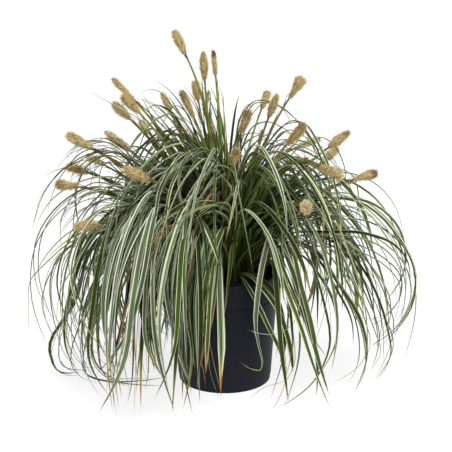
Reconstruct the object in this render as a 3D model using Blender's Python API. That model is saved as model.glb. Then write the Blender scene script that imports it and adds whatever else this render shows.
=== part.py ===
"""Potted sedge: a striped evergreen sedge in flower, standing in a deep plastic nursery pot.

Metres, +Z up. The origin is the middle of the pot's underside, and the front is -Y.
The pot and its soil are turned shapes. Each leaf tuft is one shoot: a short sheath whose
faces are drawn out into arching, keeled blades. Each flower stalk is a thin stem that
swells into its spike. Points of leaves and stalks are written in whole millimetres.
"""
import math

import bmesh
import bpy
import numpy as np
from mathutils.bvhtree import BVHTree

MM = 0.001
GAP = 0.0003

# Pot
POT_HEIGHT = 0.158
RIM_RADIUS = 0.075
FOOT_RADIUS = 0.0635
WALL = 0.0014
LIP_HEIGHT = 0.0057
LIP_OUT = 0.0013
BAND_HEIGHT = 0.0335
BAND_STEP = 0.0007
FOOT_STEP_HEIGHT = 0.007
FOOT_STEP = 0.0008
EDGE = 0.001
TURNED_SIDES = 32

# Soil
SOIL_EDGE_HEIGHT = 0.143
SOIL_TOP_HEIGHT = 0.149
SOIL_RINGS = 3

# Leaf tufts
TUFT_COUNT = 28
TUFT_SPREAD = 0.056
LEAVES_PER_TUFT = 5
SHEATH_FOOT_RADIUS = 0.0036
SHEATH_RADIUS = 0.0052
SHEATH_HEIGHT = 0.013
SHEATH_PEAK = 0.018
ARCH_HEIGHTS = (0.2, 0.26, 0.32, 0.4)
ARCH_FEET = (0.054, 0.046, 0.03, 0.012)

# Blades
BLADE_LIFT = 0.012
BLADE_RINGS = 7
KEEL_SHARE = 0.24
LEAST_KEEL = 0.0007
TWIST = math.radians(35)
LOWEST_POINT = 0.004

# Leaves that fill a tuft: at the rim, what the middle of the clump adds, and how much they vary
CREST_HEIGHT = 0.205
CREST_HEIGHT_INWARD = 0.155
CREST_HEIGHT_VARIES = 0.05
CREST_REACH = 0.085
CREST_REACH_INWARD = -0.03
CREST_REACH_VARIES = 0.055
ARCH_REACH = 0.05
ARCH_REACH_VARIES = 0.075
TIP_HEIGHT = 0.012
TIP_HEIGHT_INWARD = 0.14
TIP_HEIGHT_VARIES = 0.06
TIP_VARIES_INWARD = 0.11
FAN = math.radians(76)
SWING = math.radians(24)
LEAST_WIDTH = 0.006
WIDTH_VARIES = 0.0035
GROWN_TRIES = 12

# Flower stalks
STALK_SIDES = 4
STALK_RADIUS = 0.0011
STALK_RINGS = 5
STALK_SPREAD = 0.056
STALK_SPACING = 0.0078
STALK_FOOT_CHOICES = 420
STALK_LEAN = 0.22
SPIKE_SHARES = (0.22, 0.6, 0.88)
SPIKE_WIDTHS = (0.85, 1.0, 0.62)
STRAIGHT_NECK = 0.012

# Room kept between one leaf or stalk and the next, and how a leaf is moved until it has it
ROOM = 0.0008
TRIES = 36
FACES_TRIED = 4
TUFTS_TRIED = 14
MOST_TURN = math.radians(12)
MOST_REACH = 0.12
MOST_RISE = 0.09
GOLDEN_ANGLE = math.pi * (3 - math.sqrt(5))
SEED = 11

LEAF_GREEN = (0.14, 0.22, 0.08)
STALK_TAN = (0.42, 0.34, 0.17)

# Leaves that show one by one: width, then the points from the crest of the arch to the tip.
DRAWN_LEAVES = [
    # In front of the pot, from left to right
    (11, [(-5, -98, 221), (-3, -128, 160), (-1, -132, 85), (-5, -128, 22)]),
    (10, [(-2, -95, 248), (-15, -120, 223), (-27, -138, 164), (-31, -142, 81)]),
    (9, [(-37, -102, 266), (-63, -153, 204), (-67, -167, 134), (-69, -167, 76)]),
    (9, [(-24, -107, 272), (-52, -167, 202), (-59, -183, 140), (-68, -167, 18)]),
    (6, [(-36, -70, 221), (-51, -95, 192), (-62, -105, 142)]),
    (8, [(-27, -102, 233), (-48, -141, 176), (-52, -153, 128), (-43, -156, 34)]),
    (8, [(-21, -111, 249), (-36, -164, 187), (-37, -175, 109), (-35, -170, 30)]),
    (8, [(10, -85, 222), (7, -100, 194), (-1, -110, 128)]),
    (8, [(58, -70, 225), (50, -86, 198), (43, -97, 149), (43, -99, 104), (50, -97, 61),
         (43, -98, 45), (19, -102, 64)]),
    (8, [(15, -84, 183), (47, -98, 145), (68, -104, 105), (80, -106, 41), (61, -124, 6)]),
    (8, [(26, -70, 179), (49, -84, 163), (69, -92, 133), (89, -95, 37)]),
    (9, [(49, -72, 209), (76, -114, 172), (100, -150, 113), (138, -166, 26)]),
    (8, [(73, -60, 212), (95, -95, 148), (100, -105, 81), (79, -120, 5)]),
    # Middle arches that come towards the front
    (12, [(-19, -52, 332), (-51, -92, 305), (-93, -138, 239), (-118, -155, 143)]),
    (9, [(-3, -69, 320), (-44, -109, 300), (-79, -144, 248), (-98, -161, 145)]),
    (10, [(-7, -109, 286), (-50, -140, 263), (-82, -159, 215), (-94, -163, 149)]),
    (8, [(-14, -98, 288), (-53, -132, 271), (-75, -150, 230), (-86, -156, 157)]),
    (9, [(-28, -34, 341), (-97, -80, 304), (-146, -109, 243), (-165, -115, 176)]),
    (8, [(46, -85, 279), (78, -105, 248), (100, -115, 208), (114, -118, 156)]),
    (8, [(28, -92, 273), (48, -108, 252), (63, -116, 214), (71, -118, 156)]),
    (6, [(-14, -55, 325), (15, -80, 308), (23, -88, 277), (19, -90, 236)]),
    (6, [(10, -72, 317), (2, -96, 293), (-11, -114, 244)]),
    # The curtain on the left
    (7, [(-137, -76, 270), (-166, -133, 176), (-177, -150, 106), (-170, -152, 62), (-151, -147, 33)]),
    (9, [(-124, -76, 258), (-167, -146, 167), (-163, -159, 108), (-150, -159, 64)]),
    (8, [(-114, -95, 263), (-149, -159, 185), (-152, -171, 115), (-145, -177, 23)]),
    (8, [(-103, -102, 261), (-137, -165, 181), (-147, -178, 117), (-141, -178, 30)]),
    (8, [(-94, -108, 270), (-121, -180, 180), (-128, -193, 103), (-142, -193, 64), (-136, -190, 31)]),
    (8, [(-87, -114, 283), (-116, -190, 184), (-124, -201, 120), (-162, -188, 28)]),
    (10, [(-98, -64, 273), (-132, -109, 167), (-151, -117, 89)]),
    (8, [(-80, -114, 289), (-115, -190, 177), (-118, -193, 103), (-124, -185, 48)]),
    (7, [(-75, -102, 266), (-110, -160, 173), (-115, -165, 92), (-117, -160, 19)]),
    (6, [(-70, -114, 257), (-106, -184, 168), (-107, -190, 102), (-101, -188, 41)]),
    (8, [(-61, -127, 275), (-95, -203, 188), (-97, -211, 124), (-88, -211, 79)]),
    (5, [(-58, -108, 241), (-93, -159, 172), (-92, -165, 130), (-87, -165, 97)]),
    # The two that reach the surface on the left and run along it
    (7, [(-150, -40, 234), (-203, -10, 116), (-233, 0, 56), (-241, 0, 22), (-226, -3, 5), (-199, 2, 4)]),
    (7, [(-132, -60, 226), (-189, -30, 98), (-198, -20, 40), (-190, -18, 6), (-147, -26, 4),
         (-76, -10, 4)]),
    # Thin ones that stand clear on the left
    (4, [(-174, 10, 320), (-234, 25, 276), (-264, 35, 198)]),
    (5, [(-166, -10, 304), (-224, -15, 279), (-254, -20, 231)]),
    (5, [(-163, -30, 283), (-198, -40, 268), (-221, -45, 235)]),
    (6, [(-149, -40, 273), (-191, -55, 257), (-218, -65, 227)]),
    (5, [(-148, -69, 235), (-209, -98, 220), (-243, -109, 191)]),
    (7, [(-162, -58, 255), (-221, -86, 198), (-230, -92, 147), (-212, -86, 59)]),
    (5, [(-177, 10, 210), (-242, 15, 140), (-252, 15, 96), (-237, 15, 53)]),
    # The curtain on the right
    (5, [(89, -50, 221), (128, -88, 152), (140, -95, 88), (130, -96, 50), (71, -124, 5)]),
    (6, [(102, -61, 253), (142, -108, 169), (148, -115, 106), (141, -115, 54)]),
    (9, [(102, -54, 217), (154, -94, 159), (186, -108, 94), (171, -100, 11)]),
    (8, [(116, -30, 243), (187, -50, 145), (209, -55, 82), (199, -50, 28)]),
    (8, [(130, -15, 252), (207, -35, 125), (230, -36, 60), (206, -28, 5)]),
    (8, [(162, 0, 260), (220, -2, 222), (260, -5, 150), (230, -8, 67), (198, -10, 45)]),
    (6, [(157, 30, 258), (235, 32, 205), (265, 28, 116), (250, 20, 14)]),
    (4, [(160, 50, 280), (202, 60, 264), (239, 70, 219), (250, 75, 173)]),
    (7, [(150, 10, 284), (194, 16, 262), (225, 20, 224), (241, 20, 175)]),
    (7, [(148, -40, 242), (192, -55, 244), (230, -60, 225), (242, -62, 171)]),
    (7, [(154, -50, 223), (192, -60, 219), (225, -65, 196), (237, -65, 151)]),
    (10, [(96, -60, 319), (124, -80, 288), (145, -95, 224), (150, -98, 149)]),
    (9, [(110, -30, 316), (155, -45, 277), (190, -58, 214), (217, -60, 162)]),
    # High ones at the top of the clump
    (6, [(-86, 0, 371), (-108, -5, 353), (-142, -10, 298)]),
    (5, [(-62, 15, 366), (-97, 25, 395), (-117, 30, 382)]),
    (3, [(-112, 0, 370), (-149, 0, 390), (-186, 0, 411)]),
    (6, [(58, 10, 390), (76, 12, 380), (91, 14, 348)]),
    (6, [(108, 20, 339), (139, 25, 316), (163, 30, 277)]),
    (5, [(143, 40, 325), (160, 45, 298), (166, 50, 247)]),
    (3, [(18, 30, 331), (18, 40, 409)]),
]

# Flower spikes: foot, tip and greatest radius.
SPIKES = [
    ((-52, 30, 449), (-67, 34, 480), 6.5),
    ((-26, -10, 424), (-28, -14, 462), 6.0),
    ((-12, 40, 417), (-15, 46, 449), 4.0),
    ((-36, 80, 372), (-41, 88, 397), 5.5),
    ((-40, -30, 378), (-56, -44, 417), 5.0),
    ((-74, 90, 355), (-86, 104, 377), 4.0),
    ((-119, 10, 390), (-148, 12, 420), 4.0),
    ((-111, -20, 381), (-134, -28, 408), 6.5),
    ((-127, 30, 360), (-150, 36, 381), 6.5),
    ((-105, 110, 318), (-118, 124, 330), 5.0),
    ((-174, -10, 330), (-209, -14, 351), 6.5),
    ((-131, 70, 305), (-164, 82, 328), 6.0),
    ((-165, 60, 287), (-188, 68, 297), 4.5),
    ((-184, 25, 286), (-214, 30, 294), 5.5),
    ((-194, -25, 282), (-223, -32, 288), 6.0),
    ((-97, -105, 316), (-127, -122, 336), 7.5),
    ((-164, -75, 247), (-196, -88, 246), 7.0),
    ((21, -60, 365), (31, -74, 399), 6.0),
    ((51, 110, 353), (60, 122, 374), 5.0),
    ((58, -10, 373), (69, -14, 405), 5.5),
    ((85, 0, 396), (103, 0, 425), 6.0),
    ((81, -60, 350), (103, -72, 380), 6.0),
    ((101, 90, 304), (131, 106, 311), 5.0),
    ((139, 20, 323), (167, 24, 344), 6.0),
    ((131, 60, 290), (155, 70, 307), 5.5),
    ((124, -60, 321), (152, -78, 313), 7.5),
    ((171, 0, 284), (204, 0, 294), 6.0),
    ((9, -80, 329), (16, -92, 352), 5.5),
    ((82, 120, 268), (106, 140, 273), 5.0),
    ((105, -108, 285), (104, -136, 286), 6.0),
]


def material(name, colour, roughness, metallic=0.0):
    """A plain Principled material."""
    made = bpy.data.materials.new(name)
    made.use_nodes = True
    shader = made.node_tree.nodes["Principled BSDF"]
    shader.inputs["Base Color"].default_value = (*colour, 1.0)
    shader.inputs["Roughness"].default_value = roughness
    shader.inputs["Metallic"].default_value = metallic
    return made


def solid(name, points, faces, finish, smooth_angle=None):
    """One closed object from its points and faces, facing out and in triangles."""
    mesh = bpy.data.meshes.new(name)
    mesh.from_pydata([tuple(p) for p in points], [], faces)
    shape = bmesh.new()
    shape.from_mesh(mesh)
    bmesh.ops.recalc_face_normals(shape, faces=shape.faces)
    bmesh.ops.triangulate(shape, faces=shape.faces)
    shape.to_mesh(mesh)
    shape.free()
    if smooth_angle is not None:
        mesh.shade_smooth()
        mesh.set_sharp_from_angle(angle=smooth_angle)
    mesh.materials.append(finish)
    made = bpy.data.objects.new(name, mesh)
    bpy.context.scene.collection.objects.link(made)
    return made


def turned(name, profile, finish):
    """A shape turned about Z from (radius, height) pairs whose first and last lie on the axis."""
    around = np.arange(TURNED_SIDES) * 2 * math.pi / TURNED_SIDES
    points = [(0.0, 0.0, profile[0][1])]
    for radius, height in profile[1:-1]:
        points += [(radius * math.cos(a), radius * math.sin(a), height) for a in around]
    points.append((0.0, 0.0, profile[-1][1]))
    last = len(points) - 1
    faces = []
    for side in range(TURNED_SIDES):
        following = (side + 1) % TURNED_SIDES
        faces.append((0, 1 + following, 1 + side))
        for ring in range(len(profile) - 3):
            low = 1 + ring * TURNED_SIDES
            high = low + TURNED_SIDES
            faces.append((low + side, low + following, high + following, high + side))
        top = last - TURNED_SIDES
        faces.append((top + side, top + following, last))
    return solid(name, points, faces, finish, smooth_angle=math.radians(30))


def wall_radius(height):
    """The outside of the tapering pot wall."""
    return FOOT_RADIUS + (RIM_RADIUS - LIP_OUT - FOOT_RADIUS) * height / POT_HEIGHT


def pot_profile():
    """Out along the underside, up the outside, over the lip and down the inside."""
    band = POT_HEIGHT - BAND_HEIGHT
    lip = POT_HEIGHT - LIP_HEIGHT
    inner_top = wall_radius(POT_HEIGHT) - WALL
    inner_floor = wall_radius(WALL) - WALL
    return [
        (0.0, 0.0),
        (FOOT_RADIUS - FOOT_STEP - 2 * EDGE, 0.0),
        (FOOT_RADIUS - FOOT_STEP, 2 * EDGE),
        (wall_radius(FOOT_STEP_HEIGHT) - FOOT_STEP, FOOT_STEP_HEIGHT),
        (wall_radius(FOOT_STEP_HEIGHT), FOOT_STEP_HEIGHT + EDGE),
        (wall_radius(band), band),
        (wall_radius(band) + BAND_STEP, band + EDGE),
        (wall_radius(lip) + BAND_STEP, lip),
        (RIM_RADIUS, lip + EDGE),
        (RIM_RADIUS, POT_HEIGHT - EDGE),
        (RIM_RADIUS - EDGE, POT_HEIGHT),
        (inner_top, POT_HEIGHT),
        (inner_floor, WALL),
        (0.0, WALL),
    ]


def soil_radius(height):
    """The inside of the pot wall less the gap."""
    return wall_radius(height) - WALL - GAP


def soil_height(radius):
    """The domed top of the soil."""
    share = radius / soil_radius(SOIL_EDGE_HEIGHT)
    return SOIL_TOP_HEIGHT - (SOIL_TOP_HEIGHT - SOIL_EDGE_HEIGHT) * share ** 2


def soil_profile():
    """The root ball fills the pot, and its top rises towards the middle."""
    floor = WALL + GAP
    profile = [(0.0, floor), (soil_radius(floor), floor)]
    edge = soil_radius(SOIL_EDGE_HEIGHT)
    for ring in range(SOIL_RINGS, 0, -1):
        radius = edge * ring / SOIL_RINGS
        profile.append((radius, soil_height(radius)))
    profile.append((0.0, SOIL_TOP_HEIGHT))
    return profile


def spiral(index, count, spread):
    """Feet spaced like seeds in a flower head: a golden-angle spiral over a disc."""
    radius = spread * math.sqrt((index + 0.5) / count)
    turn = index * GOLDEN_ANGLE
    return np.array([radius * math.cos(turn), radius * math.sin(turn)])


def smooth_path(points, start, per_span=12):
    """A cubic through the points: it leaves along start and passes each one on its neighbours' slope."""
    points = np.asarray(points, float)
    spans = np.diff(points, axis=0)
    lengths = np.linalg.norm(spans, axis=1)
    slopes = spans / lengths[:, None]
    tangents = np.zeros_like(points)
    before = lengths[1:, None]
    after = lengths[:-1, None]
    tangents[1:-1] = (slopes[:-1] * before + slopes[1:] * after) / (before + after)
    tangents[0] = start
    tangents[-1] = 1.5 * slopes[-1] - 0.5 * tangents[-2]
    t = np.linspace(0, 1, per_span, endpoint=False)[None, :, None]
    low = points[:-1, None]
    high = points[1:, None]
    leave = (tangents[:-1] * lengths[:, None])[:, None]
    arrive = (tangents[1:] * lengths[:, None])[:, None]
    curve = (2 * t**3 - 3 * t**2 + 1) * low + (t**3 - 2 * t**2 + t) * leave
    curve = curve + (3 * t**2 - 2 * t**3) * high + (t**3 - t**2) * arrive
    return np.vstack([curve.reshape(-1, 3), points[-1:]])


def unit(vectors):
    """Vectors scaled to length one."""
    return vectors / np.linalg.norm(vectors, axis=-1, keepdims=True)


def stations(path, count):
    """Places along a path, spaced by length and closer together where it turns."""
    steps = np.diff(path, axis=0)
    lengths = np.linalg.norm(steps, axis=1)
    headings = steps / lengths[:, None]
    turns = np.zeros(len(lengths))
    turns[1:] = np.arccos(np.clip((headings[1:] * headings[:-1]).sum(1), -1, 1))
    weight = lengths / lengths.sum() + turns / math.pi
    along = np.concatenate([[0], np.cumsum(weight)])
    return np.interp(np.linspace(0, along[-1], count), along, np.arange(len(path)))


def carried_sides(path, start):
    """The blade's width direction, carried along the path without turning about it."""
    tangents = unit(np.gradient(path, axis=0))
    sides = np.zeros_like(path)
    side = start
    for index, tangent in enumerate(tangents):
        side = side - tangent * float(side @ tangent)
        side = side / math.sqrt(float(side @ side))
        sides[index] = side
    return tangents, sides


def width_share(s):
    """Narrow at the sheath, widest before the middle, and drawn out to a long point."""
    opening = 0.45 + 0.55 * np.clip(s / 0.25, 0, 1)
    closing = 1 - np.clip((s - 0.4) / 0.6, 0, 1) ** 1.8
    return opening * closing


def blade_rings(root, points, width, twist, room=0.0):
    """Rings of left edge, keel and right edge along a blade, and its tip."""
    outward = points[0] * [1, 1, 0]
    outward = outward / np.linalg.norm(outward)
    path = smooth_path([root, *points], np.array([0, 0, 1.0]))
    path[:, 2] = np.maximum(path[:, 2], LOWEST_POINT)
    tangents, sides = carried_sides(path, np.array([-outward[1], outward[0], 0.0]))
    places = stations(path, BLADE_RINGS + 1)
    index = np.arange(len(path))
    centre = np.stack([np.interp(places, index, path[:, axis]) for axis in range(3)], axis=1)
    tangent = unit(np.stack([np.interp(places, index, tangents[:, axis]) for axis in range(3)], axis=1))
    side = unit(np.stack([np.interp(places, index, sides[:, axis]) for axis in range(3)], axis=1))
    upper = np.cross(tangent, side)
    share = places / places[-1]
    angle = (twist * share)[:, None]
    side = side * np.cos(angle) + upper * np.sin(angle)
    upper = np.cross(tangent, side)
    wide = (width * width_share(share))[:-1, None]
    deep = np.maximum(wide * KEEL_SHARE, LEAST_KEEL) + room
    wide = np.maximum(wide, 2 * LEAST_KEEL) + 2 * room
    middle, side, upper = centre[:-1], side[:-1], upper[:-1]
    rings = np.stack([middle - side * wide / 2, middle - upper * deep, middle + side * wide / 2], axis=1)
    return rings, centre[-1]


def tube_faces(rings, sides, first):
    """Quads between rings of one tube whose points start at first, then triangles to its tip."""
    faces = []
    for ring in range(rings - 1):
        low = first + ring * sides
        high = low + sides
        for side in range(sides):
            following = (side + 1) % sides
            faces.append((low + side, low + following, high + following, high + side))
    top = first + (rings - 1) * sides
    tip = first + rings * sides
    faces += [(top + side, top + (side + 1) % sides, tip) for side in range(sides)]
    return faces


class Room:
    """The solids already placed, each with its owner, against which a new one is tested."""

    def __init__(self):
        self.placed = []

    def add(self, owner, points, faces):
        """Keeps a solid."""
        tree = BVHTree.FromPolygons(points.tolist(), faces)
        self.placed.append((owner, points.min(0), points.max(0), tree))

    def is_free(self, owner, points, faces):
        """Whether a solid meets none that another owner keeps."""
        low = points.min(0)
        high = points.max(0)
        near = [tree for other, lowest, highest, tree in self.placed
                if other != owner and (lowest < high).all() and (highest > low).all()]
        if not near:
            return True
        made = BVHTree.FromPolygons(points.tolist(), faces)
        return not any(made.overlap(tree) for tree in near)


def varied(points, attempt, seed):
    """A leaf's points turned about the pot and eased in or out: more so at each further attempt."""
    if attempt == 0:
        return points
    chance = np.random.default_rng((SEED, seed, attempt)).uniform(-1, 1, 3)
    amount = attempt / TRIES
    turn = MOST_TURN * amount * chance[0]
    reach = 1 + MOST_REACH * amount * chance[1]
    rise = 1 + MOST_RISE * amount * chance[2]
    x, y, z = points.T
    turned_x = (x * math.cos(turn) - y * math.sin(turn)) * reach
    turned_y = (x * math.sin(turn) + y * math.cos(turn)) * reach
    return np.stack([turned_x, turned_y, z * rise], axis=1)


def polar(azimuth, reach, height):
    """A point at an angle round the pot, a distance from its axis and a height."""
    return [reach * math.cos(azimuth), reach * math.sin(azimuth), height]


def before_pot(points):
    """Whether a leaf would hang in the open gap in front of the pot's right half."""
    x, y, z = points.T
    return bool(((x > -0.01) & (x < 0.085) & (y < -0.05) & (z < 0.2)).any())


def grown_leaf(foot, seed):
    """A leaf for a tuft: the further in the tuft stands, the higher the arch and the tip."""
    chance = np.random.default_rng((SEED, seed)).uniform(0, 1, 7)
    inward = 1 - float(np.hypot(*foot)) / TUFT_SPREAD
    azimuth = math.atan2(foot[1], foot[0]) + FAN * (chance[0] - 0.5) * (1 + inward)
    crest_height = CREST_HEIGHT + CREST_HEIGHT_INWARD * inward + CREST_HEIGHT_VARIES * chance[1]
    crest_reach = CREST_REACH + CREST_REACH_INWARD * inward + CREST_REACH_VARIES * chance[2]
    tip_reach = crest_reach + ARCH_REACH + ARCH_REACH_VARIES * chance[3]
    tip_varies = TIP_HEIGHT_VARIES + TIP_VARIES_INWARD * inward
    tip_height = TIP_HEIGHT + TIP_HEIGHT_INWARD * inward + tip_varies * chance[4]
    swing = SWING * (chance[5] - 0.5)
    shoulder = polar(azimuth + 0.6 * swing, crest_reach + 0.72 * (tip_reach - crest_reach),
                     crest_height + 0.34 * (tip_height - crest_height))
    points = [polar(azimuth, crest_reach, crest_height), shoulder,
              polar(azimuth + swing, tip_reach, tip_height)]
    return LEAST_WIDTH + WIDTH_VARIES * chance[6], np.array(points)


def stalk_rings(foot, spike_foot, spike_tip, radius, room=0.0):
    """Rings up the stem and round the spike, and the spike's tip."""
    axis = unit(spike_tip - spike_foot)
    path = smooth_path([foot, spike_foot - axis * STRAIGHT_NECK, spike_foot], np.array([0, 0, 1.0]))
    places = stations(path, STALK_RINGS)
    index = np.arange(len(path))
    centre = np.stack([np.interp(places, index, path[:, k]) for k in range(3)], axis=1)
    centre[-1] = spike_foot
    length = spike_tip - spike_foot
    centre = np.vstack([centre, spike_foot + np.array(SPIKE_SHARES)[:, None] * length])
    radii = np.concatenate([np.full(STALK_RINGS, STALK_RADIUS), radius * np.array(SPIKE_WIDTHS)]) + room
    tangent = unit(np.gradient(centre, axis=0))
    side = unit(np.cross(tangent, np.array([0.2, 1.0, 0.1])))
    other = np.cross(tangent, side)
    turn = np.arange(STALK_SIDES) * 2 * math.pi / STALK_SIDES
    spokes = side[:, None] * np.cos(turn)[None, :, None] + other[:, None] * np.sin(turn)[None, :, None]
    rings = centre[:, None] + spokes * radii[:, None, None]
    rings[0, :, 2] = foot[2]
    return rings, spike_tip


def stacked(rings, tip):
    """Rings and tip as one list of points."""
    return np.vstack([rings.reshape(-1, 3), tip])


def make_stalks(room, sheath_feet, finish):
    """Each stalk takes the first free foot that is nearest to under its spike."""
    taken = list(sheath_feet)
    feet = [spiral(index, STALK_FOOT_CHOICES, STALK_SPREAD) for index in range(STALK_FOOT_CHOICES)]
    for number, (spike_foot, spike_tip, radius) in enumerate(SPIKES, start=1):
        spike_foot = np.array(spike_foot) * MM
        spike_tip = np.array(spike_tip) * MM
        wanted = spike_foot[:2] * STALK_LEAN
        for foot in sorted(feet, key=lambda place: float(np.hypot(*(place - wanted)))):
            if min(float(np.hypot(*(foot - other))) for other in taken) < STALK_SPACING:
                continue
            base = np.array([*foot, soil_height(float(np.hypot(*foot))) + GAP * 2])
            rings, tip = stalk_rings(base, spike_foot, spike_tip, radius * MM, ROOM)
            faces = tube_faces(len(rings), STALK_SIDES, 0)
            if room.is_free(number, stacked(rings, tip), faces):
                break
        else:
            raise RuntimeError("no free foot for stalk %d" % number)
        taken.append(foot)
        rings, tip = stalk_rings(base, spike_foot, spike_tip, radius * MM)
        points = stacked(rings, tip)
        room.add("stalk", points, faces)
        closed = faces + [tuple(reversed(range(STALK_SIDES)))]
        solid("flower_stalk_%02d" % number, points, closed, finish, smooth_angle=math.radians(40))


def nearest_tufts(tufts, points):
    """The tufts that suit a drawn leaf, nearest first: the higher its arch, the further in."""
    radius = np.interp(points[:, 2].max(), ARCH_HEIGHTS, ARCH_FEET)
    wanted = unit(points[0][:2]) * radius
    open_ones = [tuft for tuft in tufts if tuft.free_faces]
    return sorted(open_ones, key=lambda tuft: float(np.hypot(*(tuft.foot - wanted))))[:TUFTS_TRIED]


def root_of(low, high, peak, face):
    """Where the blade on one face of a sheath starts: above the face and a little outward."""
    following = (face + 1) % len(high)
    middle = (high[face] + high[following] + peak) / 3
    outward = (middle - peak) * [1, 1, 0]
    return middle + outward * 0.5 + [0, 0, BLADE_LIFT]


class Tuft:
    """One shoot: a many-sided sheath with a foot, a shoulder and a peak, and a blade on each face."""

    def __init__(self, number, foot):
        self.number = number
        self.foot = foot
        count = LEAVES_PER_TUFT
        turn = math.atan2(foot[1], foot[0]) + (np.arange(count) - 0.5) * 2 * math.pi / count
        ring = np.stack([np.cos(turn), np.sin(turn), np.zeros(count)], axis=1)
        inner_edge = max(0.0, float(np.hypot(*foot)) - SHEATH_FOOT_RADIUS)
        middle = np.array([foot[0], foot[1], soil_height(inner_edge) + GAP])
        low = middle + ring * SHEATH_FOOT_RADIUS
        high = middle + ring * SHEATH_RADIUS + [0, 0, SHEATH_HEIGHT]
        self.sheath = (low, high, middle + [0, 0, SHEATH_PEAK])
        self.free_faces = list(range(count))
        self.points = [*low, *high, self.sheath[2]]
        self.faces = [tuple(reversed(range(count)))]
        for side in range(count):
            following = (side + 1) % count
            self.faces.append((side, following, count + following, count + side))
        self.blades = Room()

    def closed(self):
        """The tuft's faces with the sheath shut where it has no blade."""
        count = LEAVES_PER_TUFT
        lids = [(count + face, count + (face + 1) % count, 2 * count) for face in self.free_faces]
        return self.faces + lids

    def grow(self, room, width, points, seed):
        """Adds a leaf on the first face, with the least change at which it meets nothing."""
        bare_faces = tube_faces(BLADE_RINGS, 3, 0)
        joined_faces = tube_faces(BLADE_RINGS + 1, 3, 0)
        twist = TWIST * float(np.random.default_rng((SEED, seed, 7)).uniform(-1, 1))
        low, high, peak = self.sheath
        for attempt in range(TRIES):
            moved = varied(points, attempt, seed)
            outward = unit(moved[0][:2] - peak[:2])
            order = sorted(self.free_faces, key=lambda face: -float(
                unit((root_of(low, high, peak, face) - peak)[:2]) @ outward))
            for face in order[:FACES_TRIED]:
                root = root_of(low, high, peak, face)
                rings, tip = blade_rings(root, moved, width, twist, ROOM)
                corners = stacked(rings, tip)
                start = np.array([high[face], high[(face + 1) % LEAVES_PER_TUFT], peak])
                if not self.blades.is_free(None, corners, bare_faces):
                    continue
                if not room.is_free(self.number, np.vstack([start, corners]), joined_faces):
                    continue
                rings, tip = blade_rings(root, moved, width, twist)
                corners = stacked(rings, tip)
                self.blades.add(face, corners, bare_faces)
                room.add(self.number, np.vstack([start, corners]), joined_faces)
                self.join(face, corners)
                return True
        return False

    def join(self, face, corners):
        """Draws the blade out of its face of the sheath."""
        count = LEAVES_PER_TUFT
        first = len(self.points)
        ring = (count + face, count + (face + 1) % count, 2 * count)
        self.free_faces.remove(face)
        self.points += list(corners)
        for side in range(3):
            following = (side + 1) % 3
            self.faces.append((ring[side], ring[following], first + following, first + side))
        self.faces += tube_faces(BLADE_RINGS, 3, first)


def make_tufts(room, feet, finish):
    """Every tuft: first the drawn leaves of all of them, then leaves that fill the other faces."""
    tufts = [Tuft(number, foot) for number, foot in enumerate(feet, start=1)]
    for tuft in tufts:
        room.add(tuft.number, np.array(tuft.points), tuft.closed())
    for seed, (width, points) in enumerate(DRAWN_LEAVES, start=1):
        points = np.array(points) * MM
        if not any(tuft.grow(room, width * MM, points, seed) for tuft in nearest_tufts(tufts, points)):
            raise RuntimeError("no tuft has room for drawn leaf %d" % seed)
    for tuft in tufts:
        for attempt in range(GROWN_TRIES):
            seed = tuft.number * 100 + attempt
            width, points = grown_leaf(tuft.foot, seed)
            if tuft.free_faces and not before_pot(points):
                tuft.grow(room, width, points, seed)
        solid("leaf_tuft_%02d" % tuft.number, tuft.points, tuft.closed(), finish)


def main():
    """Clears the scene and builds the pot, the soil, the stalks and the tufts."""
    for old in list(bpy.data.objects):
        bpy.data.objects.remove(old, do_unlink=True)
    pot = turned("pot", pot_profile(), material("pot plastic", (0.016, 0.018, 0.023), 0.5))
    soil = turned("soil", soil_profile(), material("potting soil", (0.035, 0.024, 0.016), 0.95))
    room = Room()
    for made in (pot, soil):
        corners = np.array([vertex.co for vertex in made.data.vertices])
        room.add(made.name, corners, [tuple(face.vertices) for face in made.data.polygons])
    feet = [spiral(index, TUFT_COUNT, TUFT_SPREAD) for index in range(TUFT_COUNT)]
    make_stalks(room, feet, material("flower stalks", STALK_TAN, 0.8))
    make_tufts(room, feet, material("sedge leaves", LEAF_GREEN, 0.5))


main()
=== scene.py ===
"""Looks of the potted sedge: striped leaves, bristly flower stalks, soil and a dark nursery pot.

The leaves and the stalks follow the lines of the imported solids, and every piece is a surface worked out
on a grid with numpy. Lengths are in metres, apart from those in the lists of leaves.
"""
import math

import bmesh
import bpy
import numpy as np
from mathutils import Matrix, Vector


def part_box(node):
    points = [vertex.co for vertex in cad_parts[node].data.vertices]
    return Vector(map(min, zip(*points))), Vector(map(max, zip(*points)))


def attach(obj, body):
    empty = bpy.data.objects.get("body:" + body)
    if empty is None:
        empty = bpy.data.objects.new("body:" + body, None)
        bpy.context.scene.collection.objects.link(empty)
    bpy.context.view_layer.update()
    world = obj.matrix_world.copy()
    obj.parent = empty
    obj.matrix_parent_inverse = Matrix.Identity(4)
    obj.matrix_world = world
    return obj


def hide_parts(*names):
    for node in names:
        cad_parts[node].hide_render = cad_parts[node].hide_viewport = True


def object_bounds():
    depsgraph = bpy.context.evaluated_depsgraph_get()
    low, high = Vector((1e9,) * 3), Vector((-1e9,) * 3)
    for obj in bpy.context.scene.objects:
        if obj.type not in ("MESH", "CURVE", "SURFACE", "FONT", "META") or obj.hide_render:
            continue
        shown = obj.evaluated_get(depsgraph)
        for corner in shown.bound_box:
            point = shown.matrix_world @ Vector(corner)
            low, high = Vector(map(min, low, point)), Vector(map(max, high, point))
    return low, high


bl_info = {
    "name": "Potted Sedge",
    "version": (1, 0, 0),
    "blender": (4, 5, 0),
    "location": "3D View > Sidebar > Sedge",
    "description": "Dresses the solids of a potted sedge with leaves, spikes, soil and plastic",
    "category": "Add Mesh",
}

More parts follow.
